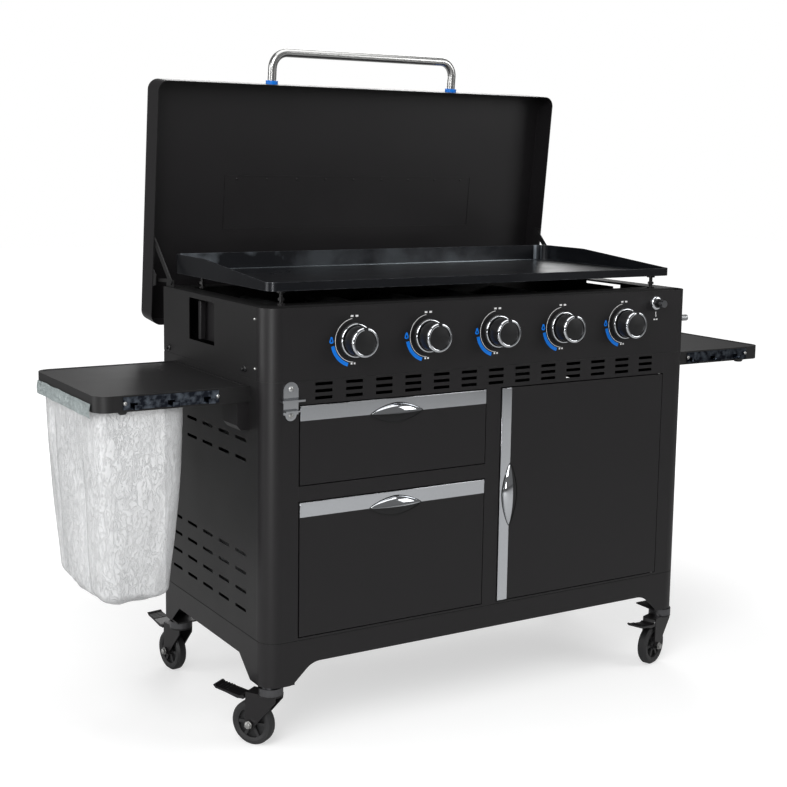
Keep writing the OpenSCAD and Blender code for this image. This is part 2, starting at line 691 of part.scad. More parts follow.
bracket_drop = 56;
bracket_out = 26;
bracket_w = 64;
module shelf_brackets() color("#1d1d20") placed() sides()
    for (y = [shelf_front + 3, shelf_front + shelf_d - 3 - bracket_w])
        translate([0, y + bracket_w, 0]) rotate([90, 0, 0]) linear_extrude(bracket_w)
            polygon([[-W / 2, shelf_low], [-W / 2, shelf_low - bracket_drop], [-W / 2 - bracket_out + 8, shelf_low - bracket_drop],
                     [-W / 2 - bracket_out, shelf_low - bracket_drop + 10], [-W / 2 - bracket_out, shelf_low]]);
module hook_rails() color("#c4c7cb") placed() sides() {
    x0 = -W / 2 - shelf_out + shelf_r + 21;
    block([x0, shelf_front - 1.6, shelf_low + 4], [x0 + hook_len, shelf_front, shelf_top - 3]);
    for (f = [0.13, 0.52, 0.9]) {
        block([x0 + hook_len * f - 7, shelf_front - 12, shelf_low + 5], [x0 + hook_len * f + 7, shelf_front - 1.6, shelf_low + 7.5]);
        block([x0 + hook_len * f - 7, shelf_front - 14, shelf_low + 5], [x0 + hook_len * f + 7, shelf_front - 12, shelf_low + 14]);
    }
}
module bottle_opener() color("#c4c7cb") placed() {
    x = -W / 2 + 51.6;
    z = 655.6;
    difference() {
        union() {
            block([x - 15.9, -2.5, z + 12], [x + 15.9, 0, z + 63]);
            rod_y(x, -2.5, 0, z + 12, 12);
            rod_y(x, -2.5, 0, z + 60, 15.2);
            block([x - 24, -16, z + 38], [x + 24, -2.5, z + 42]);
            block([x - 16, -14, z + 18], [x + 16, -2.5, z + 21]);
        }
        rod_y(x, -20, 1, z + 10, 2.5);
        rod_y(x, -20, 1, z + 62, 2.5);
    }
}

// ---------- trash bag ----------
module bag_form(inset) {
    x0 = -W / 2 - shelf_out + 3 + inset;
    x1 = -W / 2 - shelf_out + bag_w - inset;
    y0 = shelf_front + 8 + inset;
    y1 = shelf_front + shelf_d - 8 - inset;
    z1 = shelf_low - bag_gap;
    z0 = z1 - bag_h + inset;
    hull() {
        block([x0, y0, z1 - 30], [x1, y1, z1 + (inset > 0 ? 1 : 0)]);
        block([x0 + 4, y0 + 12, z0 + 90], [x1 - 12, y1 - 10, z0 + 100]);
        block([x0 + 26, y0 + 55, z0], [x1 - 40, y1 - 50, z0 + 4]);
    }
}
module trash_bag() color("#e9edf0") placed() difference() {
    bag_form(0);
    bag_form(bag_wall);
}

// ---------- casters ----------
module at_caster(c) {
    translate([c[0] * (W / 2 - caster_x), front_y + (c[1] == 0 ? caster_y : D - caster_y), 0])
        rotate(c[2]) children();
}
module caster_plates() color("#17181a")
    for (c = casters) {
        at_caster(c) difference() {
            union() {
                rod_z(0, 0, leg_z - plate4, leg_z, plate_disc_r);
                rod_z(0, 0, fork_top + 0.4, leg_z - plate4 + 1, head_r);
            }
            rod_z(0, 0, fork_top - 1, leg_z - 1, 6 + run);
        }
    }
// in a caster's own frame the wheel trails along +x and its axle is along y
module caster_fork(i) color("#1b1c1f") at_caster(casters[i - 1]) {
    difference() {
        union() {
            rod_z(0, 0, fork_top - 3, fork_top, head_r);
            for (s = [-1, 1]) rotate([90, 0, 0]) translate([0, 0, s * (fork_half + fork_t / 2) - fork_t / 2])
                linear_extrude(fork_t) polygon([[-20, fork_top], [trail + 9, fork_top], [trail + 10, pedal_pin_z - 8],
                    [trail + 11, wheel_r - 4], [trail - 4, wheel_r - 11], [trail - 13, wheel_r], [-19, pedal_pin_z]]);
            block([-20, -fork_half, fork_top - 3], [trail + 9, fork_half, fork_top]);
        }
        rod_y(trail, -fork_half - 6, fork_half + 6, wheel_r, axle_r + 0.1);
    }
    rod_z(0, 0, fork_top, leg_z - 1.5, 6);
    // axle bolt with its head and nut
    rod_y(trail, -fork_half - fork_t, fork_half + fork_t, wheel_r, axle_r);
    rod_y(trail, -fork_half - fork_t - 4, -fork_half - fork_t, wheel_r, 7.5);
    rod_y(trail, fork_half + fork_t, fork_half + fork_t + 4, wheel_r, 7.5);
}
module caster_wheel(i) color("#1d1e21") at_caster(casters[i - 1])
    translate([trail, 0, wheel_r]) rotate([90, 0, 0]) {
        h = wheel_w;
        difference() {
            rotate_extrude() polygon([[30, -h / 2 + 3], [wheel_r - 9, -h / 2 + 1], [wheel_r - 4, -h / 2 + 1], [wheel_r, -h / 2 + 6],
                [wheel_r, h / 2 - 6], [wheel_r - 4, h / 2 - 1], [wheel_r - 9, h / 2 - 1], [30, h / 2 - 3]]);
        }
        difference() {
            union() {
                translate([0, 0, -h / 2]) cylinder(r = 11, h = h);
                translate([0, 0, -2]) cylinder(r = 31, h = 4);
                for (k = [0 : 5]) rotate(k * 60) translate([9, -3, -h / 2 + 4]) cube([22.5, 6, h - 8]);
            }
            translate([0, 0, -h]) cylinder(r = axle_r + run, h = 2 * h);
        }
    }
module caster_brake(i) color("#1b1c1f") at_caster(casters[i - 1]) {
    // pedal in front of the fork, hinged on a cross pin
    x = trail + 16;
    z = pedal_pin_z;
    tip = trail + pedal_len;
    rotate([90, 0, 0]) translate([0, 0, -pedal_w / 2]) linear_extrude(pedal_w)
        polygon([[x, z - 3], [x + 12, z - 4], [tip - 30, z + 3], [tip - 6, z + 8], [tip, z + 14],
                 [tip - 4, z + 15], [tip - 9, z + 11], [tip - 32, z + 7], [x + 8, z + 2], [x, z + 3]]);
    rod_y(x, -pedal_w / 2, pedal_w / 2, z, 4);
}

griddle_plate();
plate_feet();
firebox();
control_panel();
burners();
gas_manifold();
valve_stem(1);  // valve_stem_1
valve_stem(2);  // valve_stem_2
valve_stem(3);  // valve_stem_3
valve_stem(4);  // valve_stem_4
valve_stem(5);  // valve_stem_5
knob(1);  // knob_1
knob(2);  // knob_2
knob(3);  // knob_3
knob(4);  // knob_4
knob(5);  // knob_5
panel_bezels();
igniter_button();
lid_shell();
lid_handle();
handle_collars();
lid_long_links();
lid_short_links();
lid_hinge_brackets();
lid_pivot_brackets();
front_posts();
side_panel_left();
side_panel_right();
back_panel();
front_frame();
base_skirt();
cabinet_floor();
drawer_slides();
drawer_upper();
drawer_upper_pull();
drawer_lower();
drawer_lower_pull();
door();
door_pull();
door_hinge_pins();
shelf_left();
shelf_right();
shelf_brackets();
hook_rails();
bottle_opener();
trash_bag();
caster_plates();
caster_fork(1);  // caster_fork_1
caster_fork(2);  // caster_fork_2
caster_fork(3);  // caster_fork_3
caster_fork(4);  // caster_fork_4
caster_wheel(1);  // caster_wheel_1
caster_wheel(2);  // caster_wheel_2
caster_wheel(3);  // caster_wheel_3
caster_wheel(4);  // caster_wheel_4
caster_brake(1);  // caster_brake_1
caster_brake(2);  // caster_brake_2
caster_brake(3);  // caster_brake_3
caster_brake(4);  // caster_brake_4
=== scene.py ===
"""Flat top griddle on a cabinet cart, laid out as a Blender add-on and run as a script."""
import json
import math

import bmesh
import bpy
from mathutils import Matrix, Vector, noise

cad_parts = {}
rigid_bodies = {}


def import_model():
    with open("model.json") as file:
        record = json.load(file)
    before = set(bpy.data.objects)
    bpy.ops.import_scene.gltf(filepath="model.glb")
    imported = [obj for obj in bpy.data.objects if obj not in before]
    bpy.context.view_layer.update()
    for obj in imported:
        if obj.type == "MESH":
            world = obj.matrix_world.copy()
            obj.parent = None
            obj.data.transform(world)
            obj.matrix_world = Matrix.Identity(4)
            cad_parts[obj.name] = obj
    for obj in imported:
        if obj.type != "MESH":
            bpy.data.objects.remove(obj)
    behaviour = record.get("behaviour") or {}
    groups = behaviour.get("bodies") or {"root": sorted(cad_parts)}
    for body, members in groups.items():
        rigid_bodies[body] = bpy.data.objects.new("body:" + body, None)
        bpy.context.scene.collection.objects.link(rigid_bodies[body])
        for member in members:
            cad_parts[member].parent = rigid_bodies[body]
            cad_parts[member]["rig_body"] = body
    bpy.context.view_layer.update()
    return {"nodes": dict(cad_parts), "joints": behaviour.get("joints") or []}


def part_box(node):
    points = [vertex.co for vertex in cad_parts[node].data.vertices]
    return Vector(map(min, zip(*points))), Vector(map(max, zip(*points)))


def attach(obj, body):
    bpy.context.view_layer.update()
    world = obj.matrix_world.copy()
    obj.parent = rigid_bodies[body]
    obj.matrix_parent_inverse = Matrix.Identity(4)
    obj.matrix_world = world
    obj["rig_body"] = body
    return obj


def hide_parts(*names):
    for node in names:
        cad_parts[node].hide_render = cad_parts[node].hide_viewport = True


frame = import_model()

bl_info = {
    "name": "Flat top griddle",
    "version": (1, 0, 0),
    "blender": (4, 5, 0),
    "location": "View3D > Sidebar > Griddle",
    "description": "Finishes and details for the flat top griddle's frame",
    "category": "Object",
}

MM = 0.001
NODES = frame["nodes"]
WHITE = (1.0, 1.0, 1.0, 1.0)


def low(node):
    """Lowest corner of a CAD node."""
    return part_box(node)[0]


def high(node):
    """Highest corner of a CAD node."""
    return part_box(node)[1]


def middle(node):
    """Centre of a CAD node's box."""
    a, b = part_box(node)
    return (a + b) / 2


# ---------------------------------------------------------------- settings


class GriddleSettings(bpy.types.PropertyGroup):
    """Colours and sizes that a user would change."""

    coat: bpy.props.FloatVectorProperty(
        name="Powder coat", description="Colour of the cabinet's powder coat",
        subtype="COLOR", size=3, default=(0.0060, 0.0052, 0.0060), min=0, max=1)
    side_coat: bpy.props.FloatVectorProperty(
        name="Side coat", description="Colour of the side panels and shelves",
        subtype="COLOR", size=3, default=(0.0068, 0.0065, 0.0069), min=0, max=1)
    steel: bpy.props.FloatVectorProperty(
        name="Seasoned steel", description="Colour of the seasoned cooking plate",
        subtype="COLOR", size=3, default=(0.008, 0.009, 0.012), min=0, max=1)
    accent: bpy.props.FloatVectorProperty(
        name="Accent", description="Colour of the collars and the printed heat marks",
        subtype="COLOR", size=3, default=(0.0, 0.19, 0.78), min=0, max=1)
    film: bpy.props.FloatVectorProperty(
        name="Film", description="Colour of the bag's film",
        subtype="COLOR", size=3, default=(0.86, 0.87, 0.88), min=0, max=1)
    edge_round: bpy.props.FloatProperty(
        name="Edge round", description="Width of the rounded sheet edges",
        subtype="DISTANCE", unit="LENGTH", default=0.0007, min=0.0, max=0.002)
    print_lift: bpy.props.FloatProperty(
        name="Print thickness", description="How far printed marks stand off the panel",
        subtype="DISTANCE", unit="LENGTH", default=0.00025, min=0.0001, max=0.001)
    crease: bpy.props.FloatProperty(
        name="Bag crease", description="Depth of the creases in the bag",
        subtype="DISTANCE", unit="LENGTH", default=0.008, min=0.0, max=0.02)


def settings():
    return bpy.context.scene.griddle


# ---------------------------------------------------------------- node groups


def new_group(name, inputs, outputs):
    """An empty shader group with float or colour sockets, and its end nodes."""
    tree = bpy.data.node_groups.new(name, "ShaderNodeTree")
    for label, default in inputs:
        kind = "NodeSocketColor" if isinstance(default, tuple) else "NodeSocketFloat"
        socket = tree.interface.new_socket(label, in_out="INPUT", socket_type=kind)
        socket.default_value = default
    for label, kind in outputs:
        tree.interface.new_socket(label, in_out="OUTPUT", socket_type=kind)
    return tree, tree.nodes.new("NodeGroupInput"), tree.nodes.new("NodeGroupOutput")


def add(tree, kind, **values):
    """A node with attributes and input values set by name."""
    node = tree.nodes.new(kind)
    for key, value in values.items():
        if hasattr(node, key):
            setattr(node, key, value)
        else:
            node.inputs[key.replace("_", " ")].default_value = value
    return node


def math_node(tree, operation, first, second=None, clamp=False):
    node = tree.nodes.new("ShaderNodeMath")
    node.operation = operation
    node.use_clamp = clamp
    for slot, value in enumerate((first, second)):
        if value is None:
            continue
        if isinstance(value, (int, float)):
            node.inputs[slot].default_value = value
        else:
            tree.links.new(value, node.inputs[slot])
    return node.outputs[0]


def noise_at(tree, scale, detail=3.0, stretch=None):
    """Noise over the object's own coordinates, stretched along its axes if asked."""
    place = tree.nodes.new("ShaderNodeTexCoord")
    source = place.outputs["Object"]
    if stretch:
        mapping = tree.nodes.new("ShaderNodeMapping")
        mapping.inputs["Scale"].default_value = stretch
        tree.links.new(source, mapping.inputs["Vector"])
        source = mapping.outputs["Vector"]
    texture = tree.nodes.new("ShaderNodeTexNoise")
    texture.inputs["Detail"].default_value = detail
    tree.links.new(source, texture.inputs["Vector"])
    if isinstance(scale, (int, float)):
        texture.inputs["Scale"].default_value = scale
    else:
        tree.links.new(scale, texture.inputs["Scale"])
    return texture.outputs["Fac"]


def build_grain():
    """Fine orange-peel of a sprayed or moulded surface, with a soft cloudy tone."""
    tree, ins, outs = new_group(
        "Coat grain", [("Scale", 900.0), ("Tone", 0.15), ("Base", (0.02, 0.02, 0.02, 1.0))],
        [("Height", "NodeSocketFloat"), ("Color", "NodeSocketColor"), ("Cloud", "NodeSocketFloat")])
    fine = noise_at(tree, ins.outputs["Scale"], 2.0)
    cloud = noise_at(tree, 7.0, 4.0)
    speck = noise_at(tree, 420.0, 1.0)
    tone = math_node(tree, "SUBTRACT", cloud, 0.5)
    tone = math_node(tree, "MULTIPLY", tone, ins.outputs["Tone"])
    spark = math_node(tree, "SUBTRACT", speck, 0.5)
    spark = math_node(tree, "MULTIPLY", spark, math_node(tree, "MULTIPLY", ins.outputs["Tone"], 0.8))
    gain = math_node(tree, "ADD", math_node(tree, "ADD", tone, spark), 1.0)
    mix = tree.nodes.new("ShaderNodeVectorMath")
    mix.operation = "SCALE"
    tree.links.new(ins.outputs["Base"], mix.inputs[0])
    tree.links.new(gain, mix.inputs["Scale"])
    tree.links.new(fine, outs.inputs["Height"])
    tree.links.new(mix.outputs[0], outs.inputs["Color"])
    tree.links.new(cloud, outs.inputs["Cloud"])
    return tree


def build_wear():
    """A mask of worn or polished edges, broken up by noise."""
    tree, ins, outs = new_group(
        "Edge wear", [("Width", 0.0012), ("Amount", 0.5)], [("Mask", "NodeSocketFloat")])
    bevel = tree.nodes.new("ShaderNodeBevel")
    bevel.samples = 4
    tree.links.new(ins.outputs["Width"], bevel.inputs["Radius"])
    geometry = tree.nodes.new("ShaderNodeNewGeometry")
    dot = tree.nodes.new("ShaderNodeVectorMath")
    dot.operation = "DOT_PRODUCT"
    tree.links.new(bevel.outputs[0], dot.inputs[0])
    tree.links.new(geometry.outputs["Normal"], dot.inputs[1])
    edge = math_node(tree, "MULTIPLY", math_node(tree, "SUBTRACT", 1.0, dot.outputs["Value"]), 6.0, True)
    broken = math_node(tree, "MULTIPLY", math_node(tree, "SUBTRACT", noise_at(tree, 90.0, 4.0), 0.35), 3.0, True)
    mask = math_node(tree, "MULTIPLY", math_node(tree, "MULTIPLY", edge, broken), ins.outputs["Amount"], True)
    tree.links.new(mask, outs.inputs["Mask"])
    return tree


def build_smudge():
    """Roughness of handled or wiped metal: a base value with cloudy smears."""
    tree, ins, outs = new_group(
        "Smears", [("Roughness", 0.3), ("Spread", 0.1), ("Scale", 12.0)],
        [("Roughness", "NodeSocketFloat"), ("Mask", "NodeSocketFloat")])
    cloud = noise_at(tree, ins.outputs["Scale"], 5.0)
    shift = math_node(tree, "MULTIPLY", math_node(tree, "SUBTRACT", cloud, 0.5), ins.outputs["Spread"])
    value = math_node(tree, "ADD", ins.outputs["Roughness"], shift, True)
    tree.links.new(value, outs.inputs["Roughness"])
    tree.links.new(cloud, outs.inputs["Mask"])
    return tree


def build_brushing():
    """Long fine scratches of brushed metal along x."""
    tree, ins, outs = new_group(
        "Brushing", [("Scale", 300.0)], [("Height", "NodeSocketFloat")])
    lines = noise_at(tree, ins.outputs["Scale"], 3.0, (0.02, 1.0, 1.0))
    tree.links.new(lines, outs.inputs["Height"])
    return tree


def build_crinkle():
    """Creases of thin film: fine broken lines over a soft crumple, longer up and down."""
    tree, ins, outs = new_group(
        "Film crinkle", [("Scale", 60.0), ("Sharpness", 20.0)],
        [("Height", "NodeSocketFloat"), ("Mask", "NodeSocketFloat"), ("Crowd", "NodeSocketFloat")])
    place = tree.nodes.new("ShaderNodeTexCoord")
    mapping = tree.nodes.new("ShaderNodeMapping")
    mapping.inputs["Scale"].default_value = (1.0, 1.0, 0.42)
    tree.links.new(place.outputs["Object"], mapping.inputs["Vector"])
    lines = tree.nodes.new("ShaderNodeTexNoise")
    lines.inputs["Detail"].default_value = 5.0
    lines.inputs["Roughness"].default_value = 0.62
    lines.inputs["Distortion"].default_value = 1.6
    tree.links.new(mapping.outputs["Vector"], lines.inputs["Vector"])
    tree.links.new(ins.outputs["Scale"], lines.inputs["Scale"])
    away = math_node(tree, "ABSOLUTE", math_node(tree, "SUBTRACT", lines.outputs["Fac"], 0.5))
    ridge = math_node(tree, "SUBTRACT", 1.0, math_node(tree, "MULTIPLY", away, ins.outputs["Sharpness"]), True)
    crowd = noise_at(tree, 11.0, 2.0)
    crowd = math_node(tree, "MULTIPLY", math_node(tree, "SUBTRACT", crowd, 0.36), 3.2, True)
    tree.links.new(math_node(tree, "ADD", math_node(tree, "MULTIPLY", ridge, 0.7), noise_at(tree, 30.0, 4.0)),
                   outs.inputs["Height"])
    tree.links.new(math_node(tree, "MULTIPLY", ridge, crowd), outs.inputs["Mask"])
    tree.links.new(crowd, outs.inputs["Crowd"])
    return tree


GROUPS = {}
BUILDERS = {"grain": build_grain, "wear": build_wear, "smears": build_smudge,
            "brushing": build_brushing, "crinkle": build_crinkle}


def group_node(tree, key, **values):
    if key not in GROUPS:
        GROUPS[key] = BUILDERS[key]()
    node = tree.nodes.new("ShaderNodeGroup")
    node.node_tree = GROUPS[key]
    for label, value in values.items():
        node.inputs[label].default_value = value
    return node


# ---------------------------------------------------------------- materials

MATERIALS = {}


def start_material(name):
    material = bpy.data.materials.new(name)
    material.use_nodes = True
    tree = material.node_tree
    shader = tree.nodes["Principled BSDF"]
    return material, tree, shader


def bump(tree, shader, height, strength, distance=0.0004):
    node = tree.nodes.new("ShaderNodeBump")
    node.inputs["Strength"].default_value = strength
    node.inputs["Distance"].default_value = distance
    tree.links.new(height, node.inputs["Height"])
    tree.links.new(node.outputs["Normal"], shader.inputs["Normal"])


def coated(name, colour, roughness=0.42, grain=0.14, wear=0.25, worn=(0.09, 0.09, 0.09), spread=0.1):
    """Powder coat, moulded plastic or rubber: grain, cloudy gloss and paler edges."""
    if name in MATERIALS:
        return MATERIALS[name]
    material, tree, shader = start_material(name)
    base = group_node(tree, "grain", Scale=1100.0, Tone=0.18, Base=(*colour, 1.0))
    edge = group_node(tree, "wear", Width=0.0012, Amount=wear)
    gloss = group_node(tree, "smears", Roughness=roughness, Spread=spread, Scale=9.0)
    mix = tree.nodes.new("ShaderNodeMix")
    mix.data_type = "RGBA"
    tree.links.new(edge.outputs["Mask"], mix.inputs["Factor"])
    tree.links.new(base.outputs["Color"], mix.inputs["A"])
    mix.inputs["B"].default_value = (*worn, 1.0)
    tree.links.new(mix.outputs["Result"], shader.inputs["Base Color"])
    tree.links.new(gloss.outputs["Roughness"], shader.inputs["Roughness"])
    bump(tree, shader, base.outputs["Height"], grain)
    MATERIALS[name] = material
    return material


def metal(name, colour, roughness=0.2, spread=0.12, brushed=False, strength=0.05, wear=0.0):
    """Bare or plated metal with smears, brushing or a faint grain."""
    if name in MATERIALS:
        return MATERIALS[name]
    material, tree, shader = start_material(name)
    shader.inputs["Metallic"].default_value = 1.0
    base = group_node(tree, "grain", Scale=500.0, Tone=0.12, Base=(*colour, 1.0))
    tree.links.new(base.outputs["Color"], shader.inputs["Base Color"])
    gloss = group_node(tree, "smears", Roughness=roughness, Spread=spread, Scale=16.0)
    tree.links.new(gloss.outputs["Roughness"], shader.inputs["Roughness"])
    if brushed:
        height = group_node(tree, "brushing", Scale=420.0).outputs["Height"]
    else:
        height = base.outputs["Height"]
    bump(tree, shader, height, strength, 0.0003)
    MATERIALS[name] = material
    return material


def seasoned_steel():
    """Oiled, baked steel: blue-black with specks and a wet sheen, and a painted reflection on the back wall's inner
    face in pale blotches and bright streaks.
    """
    if "seasoned_steel" in MATERIALS:
        return MATERIALS["seasoned_steel"]
    material, tree, shader = start_material("seasoned_steel")
    shader.inputs["Metallic"].default_value = 0.55
    shader.inputs["Coat Roughness"].default_value = 0.18
    base = group_node(tree, "grain", Scale=260.0, Tone=0.5, Base=(*settings().steel, 1.0))
    gloss = group_node(tree, "smears", Roughness=0.33, Spread=0.3, Scale=6.0)
    edge = group_node(tree, "wear", Width=0.002, Amount=0.7)
    mix = tree.nodes.new("ShaderNodeMix")
    mix.data_type = "RGBA"
    tree.links.new(edge.outputs["Mask"], mix.inputs["Factor"])
    tree.links.new(base.outputs["Color"], mix.inputs["A"])
    mix.inputs["B"].default_value = (0.2, 0.21, 0.23, 1.0)
    tree.links.new(mix.outputs["Result"], shader.inputs["Base Color"])
    tree.links.new(gloss.outputs["Roughness"], shader.inputs["Roughness"])
    # painted reflection: the inner face of the back wall turns pale blue-grey in blotches, strong at the left and faint
    # elsewhere, and in bright streaks at the right corner
    place = tree.nodes.new("ShaderNodeTexCoord")
    axes = tree.nodes.new("ShaderNodeSeparateXYZ")
    tree.links.new(place.outputs["Object"], axes.inputs[0])
    wall = high("griddle_plate").y - 0.0045
    near = math_node(tree, "GREATER_THAN", axes.outputs["Y"], wall)
    reflection_blotch = math_node(tree, "MULTIPLY", math_node(tree, "SUBTRACT", noise_at(tree, 9.0, 6.0), 0.45), 5.0, True)
    left = math_node(tree, "LESS_THAN", axes.outputs["X"], -0.24)
    # painted reflection of the rounded right rear corner: bright streaks at the right end of the back wall
    streaks = math_node(tree, "SUBTRACT", noise_at(tree, 1.0, 2.0, (95.0, 1.0, 2.0)), 0.42)
    streaks = math_node(tree, "MULTIPLY", streaks, 6.0, True)
    right = math_node(tree, "MULTIPLY", math_node(tree, "GREATER_THAN", axes.outputs["X"], 0.468), streaks)
    middle_reflection = math_node(tree, "MULTIPLY", reflection_blotch, 0.12)
    where = math_node(tree, "MULTIPLY", math_node(tree, "MULTIPLY", reflection_blotch, left), 0.6)
    where = math_node(tree, "MAXIMUM", math_node(tree, "MAXIMUM", where, middle_reflection), right)
    bright = math_node(tree, "MULTIPLY", near, where)
    painted_reflection = tree.nodes.new("ShaderNodeMix")
    painted_reflection.data_type = "RGBA"
    tree.links.new(bright, painted_reflection.inputs["Factor"])
    tree.links.new(mix.outputs["Result"], painted_reflection.inputs["A"])
    painted_reflection.inputs["B"].default_value = (0.42, 0.47, 0.52, 1.0)
    tree.links.new(painted_reflection.outputs["Result"], shader.inputs["Base Color"])
    coat = math_node(tree, "MULTIPLY", gloss.outputs["Mask"], 0.5)
    tree.links.new(coat, shader.inputs["Coat Weight"])
    bump(tree, shader, base.outputs["Height"], 0.12)
    MATERIALS["seasoned_steel"] = material
    return material


def film(name="film", tone_a=None, crease_shade=0.30, scale=92.0, opacity=0.60):
    """Thin clear film, cloudy white and thicker along its creases, with painted shade as grey lines along them."""
    if name in MATERIALS:
        return MATERIALS[name]
    material, tree, shader = start_material(name)
    crinkle = group_node(tree, "crinkle", Scale=scale)
    # painted shade: the colour turns grey along the creases
    tone = tree.nodes.new("ShaderNodeMix")
    tone.data_type = "RGBA"
    tree.links.new(math_node(tree, "MULTIPLY", crinkle.outputs["Mask"], 0.5), tone.inputs["Factor"])
    tone.inputs["A"].default_value = (*(tone_a or settings().film), 1.0)
    tone.inputs["B"].default_value = (crease_shade, crease_shade * 1.02, crease_shade * 1.05, 1.0)
    tree.links.new(tone.outputs["Result"], shader.inputs["Base Color"])
    thick = math_node(tree, "MULTIPLY", crinkle.outputs["Mask"], 0.3)
    thick = math_node(tree, "ADD", thick, math_node(tree, "MULTIPLY", crinkle.outputs["Crowd"], 0.12))
    tree.links.new(math_node(tree, "ADD", thick, opacity, True), shader.inputs["Alpha"])
    shader.inputs["Roughness"].default_value = 0.2
    shader.inputs["Specular IOR Level"].default_value = 0.6
    bump(tree, shader, crinkle.outputs["Height"], 0.7, 0.002)
    MATERIALS[name] = material
    return material


def hem_film():
    return film("hem_film", (0.36, 0.41, 0.41), crease_shade=0.08, scale=170.0, opacity=0.86)


def coat():
    return coated("powder_coat", settings().coat)


def side_coat():
    return coated("side_coat", settings().side_coat, roughness=0.46)


def chrome():
    return metal("chrome", (0.72, 0.74, 0.77), roughness=0.07, spread=0.06, strength=0.02)


def chrome_with_painted_reflection():
    """Mirror plating with a painted reflection of a dark room in its colour: mottled dark, with blue and grey blotches.
    """
    if "chrome_with_painted_reflection" in MATERIALS:
        return MATERIALS["chrome_with_painted_reflection"]
    material, tree, shader = start_material("chrome_with_painted_reflection")
    shader.inputs["Metallic"].default_value = 1.0
    shader.inputs["Roughness"].default_value = 0.12
    # painted reflection: cloudy blotches mix a dark and a blue-grey colour into the plating, for a dark room mirrored
    # in it
    reflection_blotch = group_node(tree, "smears", Roughness=0.5, Spread=1.0, Scale=70.0)
    ramp = tree.nodes.new("ShaderNodeMapRange")
    for label, value in (("From Min", 0.42), ("From Max", 0.78)):
        ramp.inputs[label].default_value = value
    tree.links.new(reflection_blotch.outputs["Mask"], ramp.inputs["Value"])
    mix = tree.nodes.new("ShaderNodeMix")
    mix.data_type = "RGBA"
    tree.links.new(ramp.outputs["Result"], mix.inputs["Factor"])
    mix.inputs["A"].default_value = (0.035, 0.04, 0.055, 1.0)
    mix.inputs["B"].default_value = (0.36, 0.42, 0.5, 1.0)
    tree.links.new(mix.outputs["Result"], shader.inputs["Base Color"])
    MATERIALS["chrome_with_painted_reflection"] = material
    return material


def stainless():
    return metal("stainless", (0.6, 0.6, 0.59), roughness=0.26, spread=0.1, brushed=True, strength=0.1)


def zinc():
    return metal("zinc", (0.5, 0.5, 0.49), roughness=0.34, spread=0.2)


def galvanised():
    return metal("galvanised", (0.42, 0.43, 0.44), roughness=0.45, spread=0.3)


def plastic():
    return coated("moulded_plastic", (0.012, 0.012, 0.013), roughness=0.3, grain=0.06, wear=0.08)


def satin_black():
    return coated("satin_black", (0.006, 0.006, 0.0065), roughness=0.42, grain=0.2, wear=0.0)


def dark_metal():
    return metal("dark_metal", (0.13, 0.13, 0.135), roughness=0.3, spread=0.2, strength=0.1)


def rubber():
    return coated("wheel_rubber", (0.02, 0.02, 0.021), roughness=0.5, grain=0.1, wear=0.3)


def accent():
    return coated("blue_finish", settings().accent, roughness=0.35, grain=0.05, wear=0.1, worn=(0.2, 0.35, 0.7))


def white_print():
    return coated("white_print", (0.8, 0.8, 0.8), roughness=0.5, grain=0.03, wear=0.0)


# Painted shade: near-black for the strips in the body's grooves and the rims round the pulls' cups.
def painted_shade_black():
    return coated("shadow_black", (0.004, 0.004, 0.004), roughness=0.7, grain=0.03, wear=0.0)


# ---------------------------------------------------------------- mesh helpers


def smooth_by_angle(obj, degrees=35.0):
    """Smooth faces, with edges sharper than the angle kept crisp."""
    mesh = obj.data
    mesh.polygons.foreach_set("use_smooth", [True] * len(mesh.polygons))
    work = bmesh.new()
    work.from_mesh(mesh)
    limit = math.radians(degrees)
    for edge in work.edges:
        if len(edge.link_faces) != 2 or edge.calc_face_angle(0.0) > limit:
            edge.smooth = False
    work.to_mesh(mesh)
    work.free()


def piece(name, verts, faces, material, body, slot_name, smooth=35.0):
    """A new mesh piece that rides on a body."""
    mesh = bpy.data.meshes.new(name)
    mesh.from_pydata([tuple(v) for v in verts], [], faces)
    mesh.validate()
    work = bmesh.new()
    work.from_mesh(mesh)
    bmesh.ops.recalc_face_normals(work, faces=work.faces)
    work.to_mesh(mesh)
    work.free()
    mesh.materials.append(material)
    obj = bpy.data.objects.new(name, mesh)
    bpy.context.scene.collection.objects.link(obj)
    if smooth:
        smooth_by_angle(obj, smooth)
    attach(obj, body)
    return obj


def loft(rings, close=True, caps=True):
    """Vertices and faces through rings of equal point counts."""
    count = len(rings[0])
    verts = [point for ring in rings for point in ring]
    faces = []
    for i in range(len(rings) - 1):
        for j in range(count if close else count - 1):
            k = (j + 1) % count
            faces.append((i * count + j, i * count + k, (i + 1) * count + k, (i + 1) * count + j))
    if caps:
        faces.append(tuple(range(count)))
        faces.append(tuple((len(rings) - 1) * count + j for j in reversed(range(count))))
    return verts, faces


def turned(centre, axis, profile, steps=64):
    """A lathe: profile holds (radius, distance along axis)."""
    axis = Vector(axis).normalized()
    side = axis.orthogonal().normalized()
    other = axis.cross(side)
    rings = []
    for radius, along in profile:
        rings.append([centre + axis * along + (side * math.cos(a) + other * math.sin(a)) * radius
                      for a in (2 * math.pi * k / steps for k in range(steps))])
    return loft(rings)


def merge(*parts):
    """Joins (verts, faces) pairs."""
    verts, faces = [], []
    for part_verts, part_faces in parts:
        shift = len(verts)
        verts += part_verts
        faces += [tuple(i + shift for i in face) for face in part_faces]
    return verts, faces


def slab(centre, size):
    """A box as (verts, faces)."""
    hx, hy, hz = (value / 2 for value in size)
    ring = [(-hx, -hy), (hx, -hy), (hx, hy), (-hx, hy)]
    return loft([[Vector(centre) + Vector((x, y, z)) for x, y in ring] for z in (-hz, hz)])


